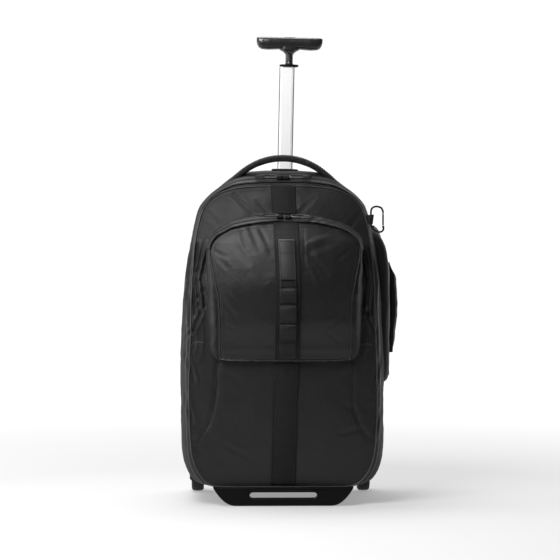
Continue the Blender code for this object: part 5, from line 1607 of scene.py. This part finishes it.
FOOT_HALF_WIDTH = 0.138
FOOT_BASE_HALF_WIDTH = 0.094
FOOT_HALF_DEPTH = 0.012
FOOT_TOP_Z = BODY_BASE_Z - 0.0003
FOOT_AROUND = 220
SLOT_HALF_WIDTH = 0.066
SLOT_BASE_Z = 0.014
SLOT_RADIUS = 0.0061
SLOT_CENTRE = np.array([0.0, 0.0201])
WHEEL_RADIUS = 0.040
WHEEL_HALF_WIDTH = 0.0125
WHEEL_X = 0.1735
AXLE_Y = 0.262
AXLE_HEAD = 0.0163

# The foot's section round its slot and back, columns: which loop, inset and depth.
FOOT_ROWS = [
    ("slot", -0.0002, -FOOT_HALF_DEPTH + 0.0010), ("slot", -0.0014, -FOOT_HALF_DEPTH),
    ("slot", -0.0030, -FOOT_HALF_DEPTH), ("slot", -0.0036, -FOOT_HALF_DEPTH + 0.0008),
    ("edge", 0.0042, -FOOT_HALF_DEPTH + 0.0010), ("edge", 0.0034, -FOOT_HALF_DEPTH),
    ("edge", 0.0016, -FOOT_HALF_DEPTH), ("edge", 0.0005, -FOOT_HALF_DEPTH + 0.0005),
    ("edge", 0.0, -FOOT_HALF_DEPTH + 0.0018), ("edge", 0.0, FOOT_HALF_DEPTH - 0.0018),
    ("edge", 0.0005, FOOT_HALF_DEPTH - 0.0005), ("edge", 0.0016, FOOT_HALF_DEPTH),
    ("slot", -0.0014, FOOT_HALF_DEPTH), ("slot", -0.0002, FOOT_HALF_DEPTH - 0.0010),
]

# Rows of the turned parts: share of the half width along the axle, then radius in metres.
HUB_ROWS = [
    (-0.62, 0.0046), (-0.62, 0.0098), (-0.50, 0.0108), (-0.22, 0.0116), (-0.18, 0.0262), (-0.72, 0.0276),
    (-0.84, 0.0296), (0.84, 0.0296), (0.72, 0.0276), (0.18, 0.0262), (0.22, 0.0116), (0.50, 0.0108),
    (0.62, 0.0098), (0.62, 0.0046),
]
SPOKE_ROWS = [(0.0105, 0.0052), (0.0150, 0.0040), (0.0220, 0.0036), (0.0272, 0.0050)]

# Rows of the axle pin: distance along it and radius, in metres.
PIN_ROWS = [
    (-0.0240, 0.0039), (AXLE_HEAD, 0.0039), (AXLE_HEAD, 0.0070), (AXLE_HEAD + 0.0008, 0.0075),
    (AXLE_HEAD + 0.0014, 0.0072), (AXLE_HEAD + 0.0020, 0.0060), (AXLE_HEAD + 0.0020, 0.0030),
    (AXLE_HEAD + 0.0012, 0.0026), (AXLE_HEAD + 0.0012, 0.0001),
]


def ray_loop(outline, centre, angles):
    """Where rays from a centre, at given angles, leave a closed outline."""
    outline = np.array(outline) - centre
    after = np.roll(outline, -1, axis=0)
    result = []
    for angle in angles:
        ray = np.array([math.cos(angle), math.sin(angle)])
        side = outline @ (-ray[1], ray[0])
        next_side = after @ (-ray[1], ray[0])
        best = 0.0
        for index in np.flatnonzero(side * next_side <= 0):
            span = side[index] - next_side[index]
            share = side[index] / span if abs(span) > 1e-12 else 0.0
            spot = outline[index] + (after[index] - outline[index]) * share
            best = max(best, float(spot @ ray))
        result.append(centre + ray * best)
    return np.array(result)


def inset(loop, amount):
    """Moves a closed loop round the slot's centre inwards."""
    ahead = np.roll(loop, -1, axis=0) - np.roll(loop, 1, axis=0)
    normal = unit(np.stack([ahead[:, 1], -ahead[:, 0]], axis=1))
    return loop - normal * np.sign(((loop - SLOT_CENTRE) * normal).sum()) * amount


def foot():
    spread = FOOT_HALF_WIDTH - FOOT_BASE_HALF_WIDTH
    flare = [
        (FOOT_BASE_HALF_WIDTH + spread * share ** 0.55, FOOT_TOP_Z * share ** 1.15)
        for share in np.linspace(0, 1, 25)
    ]
    outline = [(0.0, 0.0)] + flare + [(0.0, FOOT_TOP_Z)] + [(-x, z) for x, z in reversed(flare)]
    edge = even_steps(np.array(outline), FOOT_AROUND, True)
    slot = []
    for side in (1, -1):
        for turn in np.linspace(math.pi / 2, -math.pi / 2, 15):
            x = side * (SLOT_HALF_WIDTH - SLOT_RADIUS + SLOT_RADIUS * math.cos(turn))
            slot.append((x, SLOT_BASE_Z + SLOT_RADIUS + side * SLOT_RADIUS * math.sin(turn)))
    from_centre = edge - SLOT_CENTRE
    slot = ray_loop(slot, SLOT_CENTRE, np.arctan2(from_centre[:, 1], from_centre[:, 0]))
    rings = []
    for which, amount, y in FOOT_ROWS:
        loop = inset(slot if which == "slot" else edge, amount)
        rings.append(np.column_stack([loop[:, 0], np.full(FOOT_AROUND, y), loop[:, 1]]))
    plate = grid_solid("front_foot", rings + [rings[0]], MOULDED, capped=False)
    settle(crease(plate, 50), "bag", "foot_plate")


def lathe(name, rows, place, sign, material, steps, closed=True):
    """Turns rows of distance and radius round the axle's line through a place."""
    turn = Vector((sign, 0, 0)).to_track_quat("Z", "Y").to_matrix().to_4x4()
    angles = np.arange(steps) / steps * math.tau
    circle = np.column_stack([np.cos(angles), np.sin(angles)])
    rings = [level_ring(circle * radius, along) for along, radius in rows]
    thing = grid_solid(name, rings + rings[:1] if closed else rings, material, capped=not closed)
    thing.data.transform(Matrix.Translation(Vector(place)) @ turn)
    return crease(thing, 38)


def spoke(place, turn):
    radial = np.array([0, math.cos(turn), math.sin(turn)])
    around = np.array([0, -math.sin(turn), math.cos(turn)])
    thickness = WHEEL_HALF_WIDTH * 1.12
    rings = [
        section_ring(place + radial * reach, around, np.array([1.0, 0, 0]), width, thickness, 0.2)
        for reach, width in SPOKE_ROWS
    ]
    return grid_solid("spoke", rings, MOULDED)


def wheel(label, sign):
    place = np.array([sign * WHEEL_X, AXLE_Y, WHEEL_RADIUS])
    tread = []
    for share in np.linspace(-1, 1, 61):
        groove = 0.0011 * bell(abs(share) - 0.36, 0.05)
        tread.append((share, WHEEL_RADIUS - 0.0040 * abs(share) ** 5 - groove))
    inside = [(1.0, 0.0345), (1.0, 0.0300), (0.86, 0.0292), (-0.86, 0.0292)]
    tyre_rows = [(-1.0, 0.0300), (-1.0, 0.0345)] + tread + inside
    tyre, hub = (
        lathe(name, [(share * WHEEL_HALF_WIDTH, radius) for share, radius in rows], place, 1, material, steps)
        for name, rows, material, steps in (("tyre", tyre_rows, TYRE, 120), ("hub", HUB_ROWS, MOULDED, 96))
    )
    spokes = [spoke(place, math.tau * number / 6) for number in range(6)]
    dress([tyre, hub] + spokes, f"road_wheel_{label}", f"wheel_{label}", body=f"{label}_wheel")
    pin = lathe("axle_pin_" + label, PIN_ROWS, place, sign, STEEL, 48, closed=False)
    settle(pin, "bag", f"axle_{label}")


foot()
wheel("left", -1)
wheel("right", 1)
patch_frame()


# Finishes of the model's own parts, shown or hidden

FINISHES = {
    COATED: ("main_shell", "front_pocket"),
    GUSSET: ("side_pocket",),
    MESH: ("back_panel",),
    TYRE: ("wheel_left", "wheel_right"),
    STEEL: ("axle_left", "axle_right"),
    POLE: ("trolley_sleeve", "pull_pole"),
    GLOSS: ("pull_grip",),
    CLIP: ("carabiner_frame", "carabiner_gate"),
    STRAP: ("clip_tab",),
    HANDLE: ("grab_handle", "side_handle"),
    COIL: ("top_zipper", "pocket_zipper"),
}

for node_name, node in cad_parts.items():
    fitting = [material for material, names in FINISHES.items() if node_name in names]
    node.data.materials.clear()
    node.data.materials.append(fitting[0] if fitting else MOULDED)


# Stage: camera, floor and light

SWEEP_DIRECTION = (-0.30, 0.86, 0.41)
SWEEP_START = -0.02
SWEEP_END = 0.80
SWEEP_DARK = 0.10
SWEEP_BRIGHT = 1.05
FLOOR_SIZE = 14.0
FLOOR_PLACE = (0, 6.24, -0.0005)
FLOOR_TONE = 0.42
FLOOR_GLOW = 0.31
FAR_GLOW = 0.92
POOL_RADIUS = 0.8
POOL_END = 3.2
LAMP_AIM = (0.0, 0.05, 0.46)

# Columns: name, place, width, height, power in watts.
LAMPS = [
    ("key", (-0.62, -1.02, 1.60), 0.8, 0.8, 27.5),
    ("left_strip", (-1.7, -1.1, 0.7), 0.25, 1.3, 8.5),
    ("top", (-0.3, 0.4, 2.3), 1.4, 0.8, 26.0),
    ("left_edge", (-2.0, 0.3, 0.9), 0.5, 1.8, 11.5),
    ("right_edge", (2.3, 1.2, 1.0), 0.4, 1.8, 6.0),
]


def studio_world():
    """A white sweep behind and to the upper left, with a darker room in front of the bag."""
    world = bpy.data.worlds.new("studio")
    bpy.context.scene.world = world
    world.use_nodes = True
    tree = world.node_tree
    direction = add_node(tree, "TexCoord").outputs["Generated"]
    facing = add_node(tree, "VectorMath", {0: direction, 1: SWEEP_DIRECTION}, operation="DOT_PRODUCT")
    sockets = {
        "Value": facing.outputs["Value"], "From Min": SWEEP_START, "From Max": SWEEP_END,
        "To Min": SWEEP_DARK, "To Max": SWEEP_BRIGHT,
    }
    spread = add_node(tree, "MapRange", sockets, interpolation_type="SMOOTHSTEP")
    tree.links.new(spread.outputs["Result"], tree.nodes["Background"].inputs["Color"])


def pale_floor():
    """A pale floor with a painted glow, dimmer in a pool round the bag so that its front isn't lit from
    below.
    """
    bpy.ops.mesh.primitive_plane_add(size=FLOOR_SIZE, location=FLOOR_PLACE)
    floor = bpy.context.object
    floor.name = "floor"
    paper, tree, shader, place = start_material("paper", 0.9, specular=0.0)
    shader.inputs["Base Color"].default_value = (FLOOR_TONE, FLOOR_TONE, FLOOR_TONE, 1)
    shader.inputs["Emission Color"].default_value = (1, 1, 1, 1)
    centre = [-part for part in FLOOR_PLACE]
    away = add_node(tree, "VectorMath", {0: place, 1: centre}, operation="DISTANCE").outputs["Value"]
    sockets = {
        "Value": away, "From Min": POOL_RADIUS, "From Max": POOL_END,
        "To Min": FLOOR_GLOW, "To Max": FAR_GLOW,
    }
    # The floor glows: painted light, weakest in the pool round the bag and white far off.
    glow = add_node(tree, "MapRange", sockets)
    tree.links.new(glow.outputs["Result"], shader.inputs["Emission Strength"])
    floor.data.materials.append(paper)


def stage_scene():
    scene = bpy.context.scene
    camera = bpy.data.objects.new("camera", bpy.data.cameras.new("camera"))
    camera.data.lens = CAMERA_LENS
    camera.data.sensor_width = SENSOR_WIDTH
    camera.location = (CAMERA_X, CAMERA_Y, CAMERA_Z)
    camera.rotation_euler = (math.pi / 2, 0, -CAMERA_YAW)
    scene.collection.objects.link(camera)
    scene.camera = camera
    pale_floor()
    studio_world()
    for name, place, width, height, power in LAMPS:
        lamp = bpy.data.lights.new(name, "AREA")
        lamp.shape = "RECTANGLE"
        lamp.size, lamp.size_y, lamp.energy = width, height, power
        thing = bpy.data.objects.new(name, lamp)
        thing.location = place
        thing.rotation_euler = (Vector(LAMP_AIM) - Vector(place)).to_track_quat("-Z", "Y").to_euler()
        scene.collection.objects.link(thing)
    scene.view_settings.view_transform = "Standard"


stage_scene()
